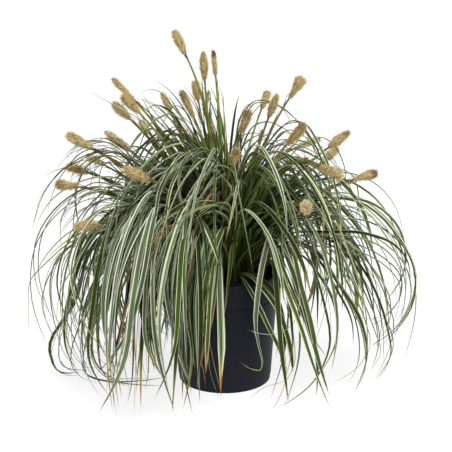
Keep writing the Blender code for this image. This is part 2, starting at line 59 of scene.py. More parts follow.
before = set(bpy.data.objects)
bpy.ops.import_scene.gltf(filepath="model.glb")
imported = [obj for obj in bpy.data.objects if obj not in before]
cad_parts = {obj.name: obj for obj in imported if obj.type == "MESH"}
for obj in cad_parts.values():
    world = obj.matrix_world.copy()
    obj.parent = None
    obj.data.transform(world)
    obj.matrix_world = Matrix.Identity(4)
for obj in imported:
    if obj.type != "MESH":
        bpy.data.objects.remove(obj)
CAD_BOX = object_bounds()

MM = 0.001
UP = np.array([0, 0, 1.0])
GOLDEN_ANGLE = math.pi * (3 - math.sqrt(5))
# Each leaf and stalk draws from a stream of its own, made from this number and its own ones
SEED = 23
ARCHING_STREAM = 99
EXTRA_STREAM = 300
STALK_STREAM = 500
SOIL_STREAM = 900

RIM_RADIUS = float(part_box("pot")[1][0])
POT_HEIGHT = float(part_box("pot")[1][2])
SOIL_TOP = float(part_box("soil")[1][2])
LEAF_TUFTS = sorted(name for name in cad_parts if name.startswith("leaf_tuft"))
FLOWER_STALKS = sorted(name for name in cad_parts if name.startswith("flower_stalk"))


# Leaves that show by themselves: the place of the tip in whole millimetres, and what is known of them
HERO_LEAVES = (
    ((-5, -128, 22), dict(width=10, keep=0.76, point=0.8, opening=0.6, fold=0.12, twist=0.0, bloom=0.45,
            yellow=0.05, left=0.22, right=0.5, lines=0.8, browning=0.87,
            route=[(-4, -60, 195), (-5, -74, 207), (-6, -88, 200), (-6, -97, 175), (-5, -104, 130),
            (-4, -112, 90), (-5, -120, 50), (-5, -128, 22)])),
    ((-1, -110, 128), dict(width=8, left=0.15, right=0.2, bloom=-0.6, yellow=0.5, lines=0.3, opening=0.65)),
    ((11, -91, 229), dict(width=5.5, left=0.4, right=0.35, bloom=0.2, lines=0.8)),
    ((0, -121, 234), dict(width=4.5, left=0.4, right=0.4, bloom=0.4, lines=1.0)),
    ((77, -118, 154), dict(width=5, left=0.45, right=0.4, bloom=0.2, lines=0.8)),
    ((-31, -142, 81), dict(width=9, left=0.25, right=0.45, bloom=-0.2, yellow=0.4, browning=0.8)),
    ((19, -102, 64), dict(width=7.5, keep=0.66, point=0.7, twist=0.5, left=0.3, right=0.28, bloom=0.5,
            yellow=0.0, lines=0.8, browning=0.92, fold=0.2,
            route=[(62, -52, 236), (57, -72, 223), (49, -88, 192), (43, -94, 150), (41, -97, 108),
            (47, -98, 76), (50, -99, 58), (47, -100, 50), (39, -101, 51), (19, -102, 64)])),
    ((47, -139, 6), dict(width=6.5, left=0.2, right=0.4, bloom=0.2, yellow=0.0, browning=0.93, fold=0.15,
            route=[(11, -58, 167), (20, -66, 171), (32, -78, 158), (41, -84, 144), (57, -92, 111),
            (73, -97, 78), (82, -100, 39), (83, -102, 9)])),
    ((90, -94, 37), dict(width=7, left=0.4, right=0.2, bloom=0.2, yellow=0.0, fold=0.2,
            route=[(15, -60, 174), (36, -72, 172), (49, -80, 160), (67, -86, 137), (80, -90, 106),
            (88, -93, 73), (91, -95, 45)])),
    ((125, -174, 26), dict(width=7.5, left=0.42, right=0.16, bloom=-0.1, yellow=0.0, fold=0.25, lines=0.7,
            route=[(40, -50, 221), (49, -66, 237), (59, -80, 226), (72, -98, 189), (85, -110, 156),
            (99, -120, 121), (113, -131, 79), (128, -143, 40), (138, -151, 19)])),
    ((-43, -156, 34), dict(width=10, left=0.22, right=0.22, bloom=0.9, yellow=0.0, lines=1.5)),
    ((-32, -168, 30), dict(width=8.5, left=0.22, right=0.3, bloom=0.3, yellow=0.0, lines=1.0)),
    ((-62, -105, 142), dict(width=4.5, dead=1.0)),
    ((-199, 2, 4), dict(width=8, twist=0.9, left=0.15, right=0.1, bloom=-0.6, lines=0.4)),
    ((-73, -12, 4), dict(width=7.5, twist=0.9, left=0.15, right=0.1, bloom=-0.3, lines=0.4)),
    ((150, -98, 149), dict(width=6, left=0.4, right=0.4, bloom=0.2, lines=1.2)),
    ((216, -48, 162), dict(width=6, left=0.42, right=0.38, bloom=0.1, lines=1.2)),
)


# Further leaves that show by themselves: the number of the tuft, how many like it stand close beside it,
# what is known of it and the places in millimetres that it passes on its way from the foot. A row's
# place in the list sets its leaves' chances, so a new row goes at the end.
EXTRA_LEAVES = (
    (5, 1, dict(width=3.2, bloom=-0.9, lines=0.3, left=0.1, right=0.15), [(-100, 0, 277), (-126, -1, 308),
        (-150, -3, 328), (-168, -4, 334), (-190, -6, 329), (-206, -7, 322), (-218, -9, 311),
        (-226, -10, 298)]),
    (18, 2, dict(width=3.4, bloom=-0.5, left=0.3, right=0.1), [(-101, 10, 267), (-130, 10, 309),
        (-151, 10, 326), (-170, 10, 323), (-185, 10, 314), (-196, 10, 305), (-204, 10, 292),
        (-208, 10, 279)]),
    (5, 1, dict(width=2.8, bloom=-0.4, lines=0.4), [(-101, 20, 285), (-134, 20, 313), (-161, 20, 318),
        (-181, 20, 313), (-198, 20, 303), (-214, 20, 296), (-233, 20, 289), (-248, 20, 279)]),
    (18, 0, dict(width=2.2, dead=0.8), [(-100, -10, 280), (-146, -10, 308), (-186, -10, 315),
        (-214, -10, 304), (-233, -10, 284), (-247, -10, 262), (-255, -10, 236), (-261, -10, 211)]),
    (18, 2, dict(width=2.8, bloom=0.4, lines=0.8), [(-100, -20, 248), (-140, -22, 265), (-166, -23, 274),
        (-185, -25, 269), (-203, -27, 259), (-214, -28, 248), (-222, -30, 229)]),
    (18, 2, dict(width=2.8, bloom=0.2, lines=0.8), [(-100, -20, 241), (-140, -22, 256), (-166, -23, 260),
        (-185, -25, 254), (-201, -27, 245), (-212, -28, 232), (-222, -30, 215)]),
    (10, 2, dict(width=3.2, bloom=-0.3), [(-102, 30, 253), (-142, 32, 285), (-162, 33, 299),
        (-175, 35, 289), (-182, 37, 271), (-185, 38, 252), (-187, 40, 234)]),
    (5, 2, dict(width=5.2, bloom=0.0, left=0.35, right=0.35, lines=0.5), [(-69, -40, 310), (-88, -43, 303),
        (-101, -47, 293), (-117, -50, 274), (-131, -53, 255), (-143, -57, 235), (-152, -60, 216)]),
    (2, 1, dict(width=5.2, bloom=0.1, left=0.2, right=0.35, lines=0.5), [(-60, 10, 323), (-80, 12, 342),
        (-97, 13, 351), (-112, 15, 346), (-123, 17, 332), (-133, 18, 313), (-143, 20, 292)]),
    (18, 2, dict(width=3.8, bloom=-0.8, left=0.15, right=0.15, lines=0.4), [(-99, -50, 227),
        (-139, -49, 218), (-166, -48, 194), (-188, -47, 170), (-204, -46, 138), (-219, -45, 100),
        (-233, -44, 63), (-236, -43, 38), (-224, -42, 22), (-206, -41, 17), (-192, -40, 21)]),
    (26, 1, dict(width=2.4, bloom=0.6, left=0.5, right=0.3), [(-113, -20, 227), (-167, -21, 217),
        (-205, -23, 201), (-230, -24, 179), (-243, -26, 146), (-246, -27, 115), (-240, -29, 84),
        (-224, -30, 58)]),
    (18, 2, dict(width=3.2, bloom=-0.3, lines=0.6), [(-106, -40, 226), (-159, -40, 224), (-200, -40, 208),
        (-224, -40, 186), (-234, -40, 156), (-234, -40, 120), (-228, -40, 84), (-217, -40, 47),
        (-197, -40, 24)]),
    (18, 2, dict(width=3.4, bloom=-0.2, lines=0.6), [(-105, -60, 226), (-152, -59, 219), (-184, -57, 196),
        (-202, -56, 169), (-208, -54, 132), (-212, -53, 96), (-212, -51, 59), (-200, -50, 34)]),
    (18, 2, dict(width=3.6, bloom=0.5, left=0.4, right=0.3), [(-98, -80, 226), (-138, -77, 200),
        (-165, -74, 157), (-183, -71, 122), (-192, -69, 88), (-193, -66, 51), (-187, -63, 26),
        (-177, -60, 22)]),
    (11, 2, dict(width=4.4, bloom=-0.2, left=0.3, right=0.2), [(-77, -120, 260), (-99, -125, 221),
        (-111, -130, 175), (-118, -135, 128), (-119, -140, 88), (-122, -145, 48), (-128, -150, 22)]),
    (26, 2, dict(width=4.0, bloom=-0.4, left=0.2, right=0.3), [(-97, -100, 249), (-129, -106, 214),
        (-152, -112, 168), (-168, -118, 121), (-179, -124, 86), (-185, -130, 56)]),
    (26, 2, dict(width=3.2, bloom=-0.2), [(-112, -40, 247), (-159, -40, 238), (-190, -40, 219),
        (-209, -40, 191), (-220, -40, 156), (-222, -40, 120), (-219, -40, 84), (-207, -40, 52)]),
    (22, 0, dict(width=3.6, bloom=-0.6, left=0.15, right=0.2, lines=0.4), [(101, -20, 227), (141, -21, 234),
        (184, -22, 235), (224, -24, 215), (248, -25, 186), (258, -26, 148), (253, -28, 111), (236, -29, 82),
        (212, -30, 56)]),
    (14, 1, dict(width=3.8, bloom=0.4, left=0.4, right=0.3), [(100, -40, 241), (146, -41, 262),
        (186, -43, 254), (213, -44, 222), (233, -46, 186), (242, -47, 151), (241, -49, 123),
        (228, -50, 93)]),
    (14, 1, dict(width=4.0, bloom=-0.6, left=0.2, right=0.15), [(114, -30, 216), (161, -34, 199),
        (191, -39, 162), (209, -43, 125), (220, -47, 87), (225, -51, 56), (218, -56, 35), (206, -60, 19)]),
    (27, 1, dict(width=4.0, bloom=-0.4, left=0.3, right=0.15), [(100, -60, 226), (139, -63, 209),
        (166, -67, 170), (187, -70, 131), (201, -73, 94), (209, -77, 69), (195, -80, 40)]),
    (27, 1, dict(width=3.8, bloom=-0.5, left=0.2, right=0.3), [(100, -60, 212), (133, -62, 189),
        (160, -63, 143), (178, -65, 111), (188, -67, 73), (189, -68, 37), (176, -70, 6)]),
    (19, 1, dict(width=2.6, bloom=0.1), [(102, 0, 206), (156, 0, 199), (211, 0, 177), (239, 0, 148),
        (241, 0, 119), (224, 0, 93), (202, 0, 84), (179, 0, 87)]),
    (22, 0, dict(width=2.4, bloom=0.5, left=0.4, right=0.4), [(102, 0, 213), (156, 0, 220), (210, 0, 199),
        (245, 0, 163), (255, 0, 119), (241, 0, 80), (220, 0, 56), (198, 0, 44)]),
    (3, 0, dict(width=8.0, bloom=0.3, left=0.28, right=0.3, lines=1.2), [(-15, -75, 334), (-25, -91, 341),
        (-39, -108, 334), (-54, -124, 319), (-67, -140, 295), (-78, -156, 268), (-87, -172, 238),
        (-94, -189, 203), (-98, -205, 169)]),
    (8, 0, dict(width=6.5, bloom=-0.1, left=0.3, right=0.25, lines=0.8), [(-17, -50, 337), (-32, -64, 347),
        (-47, -79, 346), (-62, -93, 339), (-79, -107, 323), (-98, -121, 297), (-114, -136, 265),
        (-128, -150, 230)]),
    (3, 1, dict(width=6.0, bloom=0.0, left=0.3, right=0.35, lines=1.0), [(2, -80, 326), (-8, -96, 333),
        (-21, -111, 329), (-34, -127, 315), (-44, -142, 298), (-53, -158, 274), (-60, -174, 245),
        (-65, -189, 210), (-69, -205, 176)]),
    (5, 2, dict(width=4.0, bloom=0.0, lines=0.8), [(2, -105, 277), (-14, -120, 287), (-31, -135, 288),
        (-49, -150, 282), (-66, -165, 266), (-81, -180, 240)]),
    (24, 2, dict(width=4.0, bloom=-0.1, lines=0.8), [(-19, -95, 286), (-44, -114, 292), (-67, -132, 284),
        (-84, -151, 266), (-99, -170, 238)]),
    (16, 0, dict(width=4.0, dead=1.0, fold=0.3), [(-23, -110, 291), (-32, -121, 274), (-40, -132, 247),
        (-48, -143, 218), (-55, -154, 193), (-61, -165, 166)]),
    (27, 1, dict(width=2.2, dead=0.9), [(50, -40, 219), (74, -44, 200), (91, -48, 166), (102, -52, 124),
        (116, -56, 90), (127, -60, 60)]),
    (16, 0, dict(width=2.6, dead=0.9), [(-68, -110, 223), (-77, -114, 196), (-83, -118, 156),
        (-84, -122, 127), (-92, -126, 112), (-99, -130, 101)]),
    (11, 2, dict(width=2.8, dead=0.8), [(-83, -150, 253), (-99, -156, 212), (-110, -162, 162),
        (-114, -166, 108), (-116, -168, 69), (-118, -170, 13)]),
    (21, 1, dict(width=2.8, dead=0.9), [(-83, -150, 260), (-109, -156, 212), (-129, -160, 148),
        (-142, -164, 80), (-145, -166, 43), (-140, -168, 13)]),
    (26, 2, dict(width=3.4, bloom=-0.2), [(-97, -20, 273), (-141, -15, 326), (-182, -10, 329),
        (-220, -10, 290), (-240, -10, 236)]),
    (26, 2, dict(width=3.4, bloom=0.2, left=0.3), [(-113, 0, 289), (-151, 10, 331), (-186, 20, 332),
        (-219, 25, 307)]),
    (5, 2, dict(width=3.2, bloom=-0.4), [(-87, 10, 272), (-128, 15, 320), (-163, 20, 332), (-198, 25, 323),
        (-217, 30, 300)]),
    (14, 2, dict(width=3.6, bloom=0.0, right=0.3), [(34, 10, 314), (81, 10, 338), (125, 10, 326),
        (160, 10, 292)]),
    (22, 2, dict(width=4.0, bloom=0.3, left=0.35), [(50, -10, 301), (84, -20, 333), (126, -30, 321),
        (159, -40, 274)]),
    (17, 1, dict(width=3.4, bloom=-0.3), [(6, 0, 323), (22, 0, 345), (42, 0, 349), (66, 0, 328)]),
    (26, 2, dict(width=4.2, bloom=-0.4, left=0.2, right=0.3), [(-151, -50, 265), (-185, -60, 244),
        (-207, -70, 192), (-216, -75, 126), (-207, -75, 66)]),
    (18, 2, dict(width=4.4, bloom=0.2, left=0.35, right=0.2), [(-140, -60, 254), (-176, -80, 226),
        (-203, -90, 168), (-210, -95, 105), (-198, -95, 45)]),
    (13, 1, dict(width=4.4, bloom=-0.5, left=0.3, right=0.2), [(-97, -110, 198), (-120, -130, 161),
        (-133, -140, 109), (-140, -140, 46)]),
    (10, 1, dict(width=4.4, bloom=0.1, left=0.25, right=0.35), [(-64, -90, 199), (-89, -120, 157),
        (-103, -130, 98), (-98, -130, 37)]),
    (27, 1, dict(width=4.2, bloom=-0.7, left=0.15, right=0.1, lines=0.4), [(139, -50, 251), (182, -55, 201),
        (213, -60, 146), (227, -65, 99), (222, -65, 68), (204, -65, 24)]),
    (22, 1, dict(width=3.6, bloom=0.4, left=0.35, right=0.3), [(160, -20, 269), (219, -25, 221),
        (241, -30, 178), (244, -30, 123), (233, -30, 74), (220, -30, 51)]),
    (27, 2, dict(width=3.4, bloom=0.7, left=0.4, right=0.35), [(160, -40, 212), (200, -45, 172),
        (222, -50, 131), (218, -50, 88), (199, -50, 64)]),
    (10, 0, dict(width=9.5, bloom=0.1, left=0.3, right=0.2, lines=0.8, browning=1.3), [(-14, -75, 293),
        (-28, -105, 269), (-42, -130, 238), (-53, -150, 182), (-60, -158, 123), (-64, -160, 73),
        (-69, -160, 19)]),
    (13, 0, dict(width=8.5, bloom=0.0, left=0.35, right=0.4, lines=1.2, browning=0.9), [(-16, -75, 273),
        (-37, -115, 241), (-48, -140, 199), (-48, -150, 144), (-42, -152, 97), (-48, -152, 47),
        (-55, -150, 14)]),
    (8, 0, dict(width=6.5, bloom=0.4, left=0.4, right=0.3, lines=1.0, browning=0.8), [(2, -70, 257),
        (-5, -95, 231), (-11, -110, 181), (-18, -118, 128), (-27, -120, 90), (-32, -120, 61)]),
    (8, 0, dict(width=6.5, bloom=-0.9, left=0.12, right=0.1, lines=0.3, browning=1.3), [(-3, -70, 243),
        (-14, -90, 216), (-22, -105, 165), (-23, -112, 98), (-18, -115, 48), (-5, -115, 11)]),
    (10, 1, dict(width=8, bloom=0.6, left=0.4, right=0.35, lines=1.2), [(-6, -60, 316), (-25, -90, 298),
        (-44, -120, 260), (-62, -140, 206), (-74, -150, 141), (-80, -150, 85)]),
    (26, 1, dict(width=5.6, bloom=-0.7, left=0.15, right=0.12, lines=0.5), [(-139, -40, 261),
        (-175, -60, 230), (-195, -70, 179), (-211, -75, 127), (-212, -75, 69), (-197, -75, 34)]),
    (13, 1, dict(width=6, bloom=-0.2, left=0.2, right=0.25, lines=0.6), [(-127, -70, 243), (-158, -90, 199),
        (-184, -100, 143), (-189, -100, 87), (-182, -100, 39), (-164, -95, 8)]),
    (18, 1, dict(width=4.6, bloom=-0.5, left=0.15, right=0.2, lines=0.5), [(-177, -30, 244),
        (-211, -45, 206), (-224, -55, 158), (-213, -60, 109), (-198, -60, 66), (-172, -55, 6)]),
    (2, 2, dict(width=4.6, bloom=0.1, left=0.3, right=0.25, lines=0.9), [(-46, 10, 312), (-71, 15, 331),
        (-98, 20, 332), (-122, 20, 317), (-138, 15, 290)]),
    (5, 2, dict(width=4.6, bloom=0.0, left=0.25, right=0.3, lines=0.8), [(-26, 0, 312), (-46, 5, 335),
        (-70, 10, 345), (-93, 10, 341), (-113, 10, 323)]),
    (5, 2, dict(width=4.6, bloom=0.2, left=0.35, right=0.3, lines=0.9), [(-13, -20, 302), (-27, -25, 319),
        (-47, -35, 325), (-67, -45, 312), (-86, -55, 288), (-98, -60, 259)]),
    (19, 0, dict(width=1.3, dead=0.9, keep=0.9), [(57, -75, 210), (79, -95, 148), (92, -100, 93),
        (92, -100, 56), (83, -102, 38), (52, -108, 28), (28, -112, 9)]),
    (8, 0, dict(width=1.3, dead=1.0, keep=0.9), [(-14, -80, 212), (-22, -105, 152), (-21, -108, 103),
        (-14, -110, 62), (-5, -112, 24)]),
    (19, 0, dict(width=1.3, dead=0.8, keep=0.9), [(60, -75, 194), (72, -95, 134), (79, -100, 79),
        (82, -104, 42), (74, -113, 18), (61, -130, 3)]),
    (27, 0, dict(width=1.2, dead=0.0, bloom=1.0, left=0.5, right=0.5, keep=0.9), [(68, -70, 223),
        (94, -90, 181), (98, -98, 140), (88, -100, 113), (68, -101, 102), (44, -101, 103),
        (27, -100, 109)]),
    (13, 0, dict(width=1.3, dead=1.0, keep=0.9), [(-32, -90, 216), (-40, -115, 155), (-38, -118, 93),
        (-29, -118, 61), (-25, -116, 28)]),
)


# Spikes that show by themselves: bluntness, girth, how far the bristles lie back and the tip's brownness
SPIKES = {
    1: (0.55, 1.0, 0, 0.0),
    2: (0.1, 0.95, 0, 0.0),
    3: (0.3, 0.7, 0, 0.9),
    7: (0.7, 0.95, 0, 0.2),
    11: (0.9, 1.0, 0, 0.0),
    14: (0.8, 1.05, 8, 0.0),
    15: (1.1, 1.05, 8, 0.3),
    21: (1.7, 1.0, 4, 0.0),
    22: (0.6, 1.1, 6, 0.3),
    24: (0.0, 1.1, 0, 0.3),
    30: (0.6, 0.72, 50, 0.1),
}


# Reading the lines of leaves and stalks out of their solids

def rings_from_tips(node, sides, rings):
    """The corners round each limb of a solid, ring by ring from the limb's foot to its tip.

    A tip is a corner with as many neighbours as the limb has sides. The corners one step from it
    are the last ring, those one more step away the ring before, and so on down the limb.
    """
    shape = bmesh.new()
    shape.from_mesh(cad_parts[node].data)
    bmesh.ops.remove_doubles(shape, verts=shape.verts, dist=0.02 * MM)
    limbs = []
    for tip in shape.verts:
        seen = {tip}
        layer = [tip]
        steps = [np.array([tip.co])]
        for _ in range(rings):
            following = {edge.other_vert(corner) for corner in layer for edge in corner.link_edges} - seen
            if len(following) != sides:
                break
            layer = sorted(following, key=lambda corner: corner.index)
            seen |= following
            steps.append(np.array([corner.co for corner in layer]))
        else:
            limbs.append(steps[::-1])
    shape.free()
    return limbs


def unit(vectors):
    """Vectors scaled to length one."""
    return vectors / np.maximum(np.linalg.norm(vectors, axis=-1, keepdims=True), 1e-12)


def smooth_curve(points, count):
    """A cubic through the points, read at count places spaced by its length and its turning.

    Between two points it is the Hermite cubic whose slopes there are the chords before and after each
    point, each weighted by the length of the other. The first slope points straight up. Also gives, for
    each place, its share of the way counted in points.
    """
    spans = np.diff(points, axis=0)
    lengths = np.linalg.norm(spans, axis=1)
    slopes = spans / lengths[:, None]
    tangents = np.empty_like(points)
    before, after = lengths[1:, None], lengths[:-1, None]
    tangents[1:-1] = (slopes[:-1] * before + slopes[1:] * after) / (before + after)
    tangents[0] = UP
    tangents[-1] = 1.5 * slopes[-1] - 0.5 * tangents[-2]
    fine_steps = 16
    t = np.linspace(0, 1, fine_steps, endpoint=False)[None, :, None]
    low, high = points[:-1, None], points[1:, None]
    leave = (tangents[:-1] * lengths[:, None])[:, None]
    arrive = (tangents[1:] * lengths[:, None])[:, None]
    curve = (2 * t**3 - 3 * t**2 + 1) * low + (t**3 - 2 * t**2 + t) * leave
    curve = curve + (3 * t**2 - 2 * t**3) * high + (t**3 - t**2) * arrive
    curve = np.vstack([curve.reshape(-1, 3), points[-1:]])
    where = np.append((np.arange(len(points) - 1)[:, None] + t[0, :, 0]).ravel(), len(points) - 1)
    steps = np.linalg.norm(np.diff(curve, axis=0), axis=1)
    headings = unit(np.diff(curve, axis=0))
    turns = np.append(0, np.arccos(np.clip((headings[1:] * headings[:-1]).sum(1), -1, 1)))
    weight = np.append(0, np.cumsum(steps / steps.sum() + turns / math.pi))
    read = np.linspace(0, weight[-1], count)
    path = np.stack([np.interp(read, weight, curve[:, axis]) for axis in range(3)], axis=1)
    return path, np.interp(read, weight, where)


class LeafLine:
    """The middle line of a leaf, its width direction at each of a few places and its greatest width."""

    def __init__(self, centres, sides, width):
        self.centres = centres
        self.sides = sides
        self.width = width

    def longer(self, length, drift):
        """The same leaf with a hanging end.

        P(s) = T + l (D (s - s^2 / 2) - Z s^2 / 2 + X d s) from the tip T with the heading D.
        """
        share = np.array([[0.33], [0.67], [1.0]])
        heading = unit(self.centres[-1] - self.centres[-2]) + [drift, 0, 0]
        end = self.centres[-1] + length * (heading * (share - share**2 / 2) - 0.5 * UP * share**2)
        sides = np.vstack([self.sides, np.repeat(self.sides[-1:], 3, axis=0)])
        return LeafLine(np.vstack([self.centres, end]), sides, self.width)

    def moved(self, foot, turn=0.0, reach=1.0, rise=1.0, drop=1.0, sway=0.0, bow=0.0, curl=0.0, cut=1.0,
              narrowing=1.0):
        """The same leaf turned about its foot, drawn in, lowered, bent aside, curled in, cut and narrowed.

        rise scales what is above the foot and drop what hangs below it. At a share s of the way the
        leaf stands aside by sway s^3 + bow s sin(2 pi s). It stays 3 mm inside the box of the solids.
        """
        cos, sin = math.cos(turn), math.sin(turn)
        spin = np.array([[cos, sin, 0], [-sin, cos, 0], [0, 0, 1]])
        share = np.linspace(0, 1, len(self.centres))[:, None]
        index = np.arange(len(self.centres))
        kept = [np.interp(index * cut, index, self.centres[:, axis]) for axis in range(3)]
        arm = (np.stack(kept, axis=1) - foot) @ spin
        arm[:, :2] *= (1 + (reach - 1) * np.minimum(1, 2 * share)) * (1 - curl * share**4)
        arm[:, 2] *= np.where(arm[:, 2] > 0, rise, drop)
        aside = unit(np.array([-arm[-1, 1], arm[-1, 0], 0]))
        centres = foot + arm + aside * (sway * share**3 + bow * share * np.sin(2 * math.pi * share))
        low, high = np.array(CAD_BOX) + np.array([[1.0], [-1.0]]) * 3 * MM
        return LeafLine(np.clip(centres, low, high), self.sides @ spin, self.width * narrowing)


def leaf_line(limb, foot):
    """The line of one blade of a solid: its keel is the corner off the longest side of each ring."""
    tip = limb[-1][0]
    rings = np.array(limb[:-1])
    middles = rings.mean(axis=1)
    along = unit(np.gradient(np.vstack([middles, tip]), axis=0))[:-1]
    lefts, rights = [], []
    for ring, tangent in zip(rings, along):
        gaps = np.linalg.norm(ring - np.roll(ring, -1, axis=0), axis=1)
        longest = int(gaps.argmax())
        left, right, keel = ring[longest], ring[(longest + 1) % 3], ring[(longest + 2) % 3]
        if np.cross(tangent, right - left) @ ((left + right) / 2 - keel) < 0:
            left, right = right, left
        lefts.append(left)
        rights.append(right)
    lefts, rights = np.array(lefts), np.array(rights)
    sides = unit(rights - lefts)
    centres = np.vstack([foot, (lefts + rights) / 2, tip])
    width = float(np.linalg.norm(rights - lefts, axis=1).max())
    return LeafLine(centres, np.vstack([sides[:1], sides, sides[-1:]]), width)


# Shader maths

class Value:
    """A socket of a finish, with arithmetic that adds Math nodes."""

    def __init__(self, finish, socket):
        self.finish = finish
        self.socket = socket

    def math(self, operation, *values):
        """A Math node on these values."""
        return self.finish.add("ShaderNodeMath", {"operation": operation}, dict(enumerate(values)))

    def __add__(self, other):
        return self.math("ADD", self, other)

    def __radd__(self, other):
        return self.math("ADD", other, self)

    def __sub__(self, other):
        return self.math("SUBTRACT", self, other)

    def __rsub__(self, other):
        return self.math("SUBTRACT", other, self)

    def __mul__(self, other):
        return self.math("MULTIPLY", self, other)

    def __abs__(self):
        return self.math("ABSOLUTE", self)

    def above(self, low, high):
        """0 below low, 1 above high and an even S between."""
        return self.finish.add("ShaderNodeMapRange", {"interpolation_type": "SMOOTHSTEP"},
                               {"Value": self, "From Min": low, "From Max": high})


class Finish:
    """A material under construction."""

    def __init__(self, name):
        self.material = bpy.data.materials.new(name)
        self.material.use_nodes = True
        self.tree = self.material.node_tree
        self.shader = self.tree.nodes["Principled BSDF"]

    def feed(self, socket, value):
        """Links a value to a socket, or sets it there."""
        if isinstance(value, Value):
            self.tree.links.new(value.socket, socket)
        elif hasattr(value, "__len__") and len(socket.default_value) == 4:
            socket.default_value = (*value, 1.0)
        else:
            socket.default_value = value

    def add(self, kind, settings, values, output=0):
        """A node of a type, with its settings and then the values of its sockets."""
        node = self.tree.nodes.new(kind)
        for key, setting in settings.items():
            setattr(node, key, setting)
        for key, value in values.items():
            self.feed(node.inputs[key], value)
        return Value(self, node.outputs[output])

    def mix(self, factor, first, second):
        """One colour blended into another."""
        return self.add("ShaderNodeMix", {"data_type": "RGBA"}, {0: factor, 6: first, 7: second}, output=2)

    def marks(self, name):
        """The three numbers of an attribute of the piece."""
        return self.parts(self.add("ShaderNodeAttribute", {"attribute_name": name}, {}, output=1))

    def tint(self):
        """The piece's own colour."""
        return self.add("ShaderNodeAttribute", {"attribute_name": "tint"}, {}, output=0)

    def parts(self, vector):
        """The three parts of a vector."""
        split = self.tree.nodes.new("ShaderNodeSeparateXYZ")
        self.feed(split.inputs[0], vector)
        return [Value(self, socket) for socket in split.outputs]

    def vector(self, x, y, z):
        """A vector of three values."""
        return self.add("ShaderNodeCombineXYZ", {}, {0: x, 1: y, 2: z})

    def place(self):
        """The place on the piece, in metres."""
        return self.add("ShaderNodeTexCoord", {}, {}, output=3)

    def noise(self, vector, scale, detail=2.0, roughness=0.5):
        """Soft noise from 0 to 1."""
        values = {"Vector": vector, "Scale": scale, "Detail": detail, "Roughness": roughness}
        return self.add("ShaderNodeTexNoise", {"noise_dimensions": "3D"}, values)

    def bump(self, height, distance, strength):
        """A bump as deep as the distance where the height goes from 0 to 1."""
        return self.add("ShaderNodeBump", {}, {"Height": height, "Distance": distance, "Strength": strength})

    def surface(self, **values):
        """Sets or links sockets of the shader, where an underscore in a name stands for a space."""
        for key, value in values.items():
            self.feed(self.shader.inputs[key.replace("_", " ")], value)

    def glow_through(self, colour, share):
        """Lets a share of the light through a thin leaf."""
        through = self.tree.nodes.new("ShaderNodeBsdfTranslucent")
        self.feed(through.inputs["Color"], colour)
        both = self.tree.nodes.new("ShaderNodeMixShader")
        both.inputs[0].default_value = share
        self.tree.links.new(self.shader.outputs[0], both.inputs[1])
        self.tree.links.new(through.outputs[0], both.inputs[2])
        self.tree.links.new(both.outputs[0], self.tree.nodes["Material Output"].inputs[0])


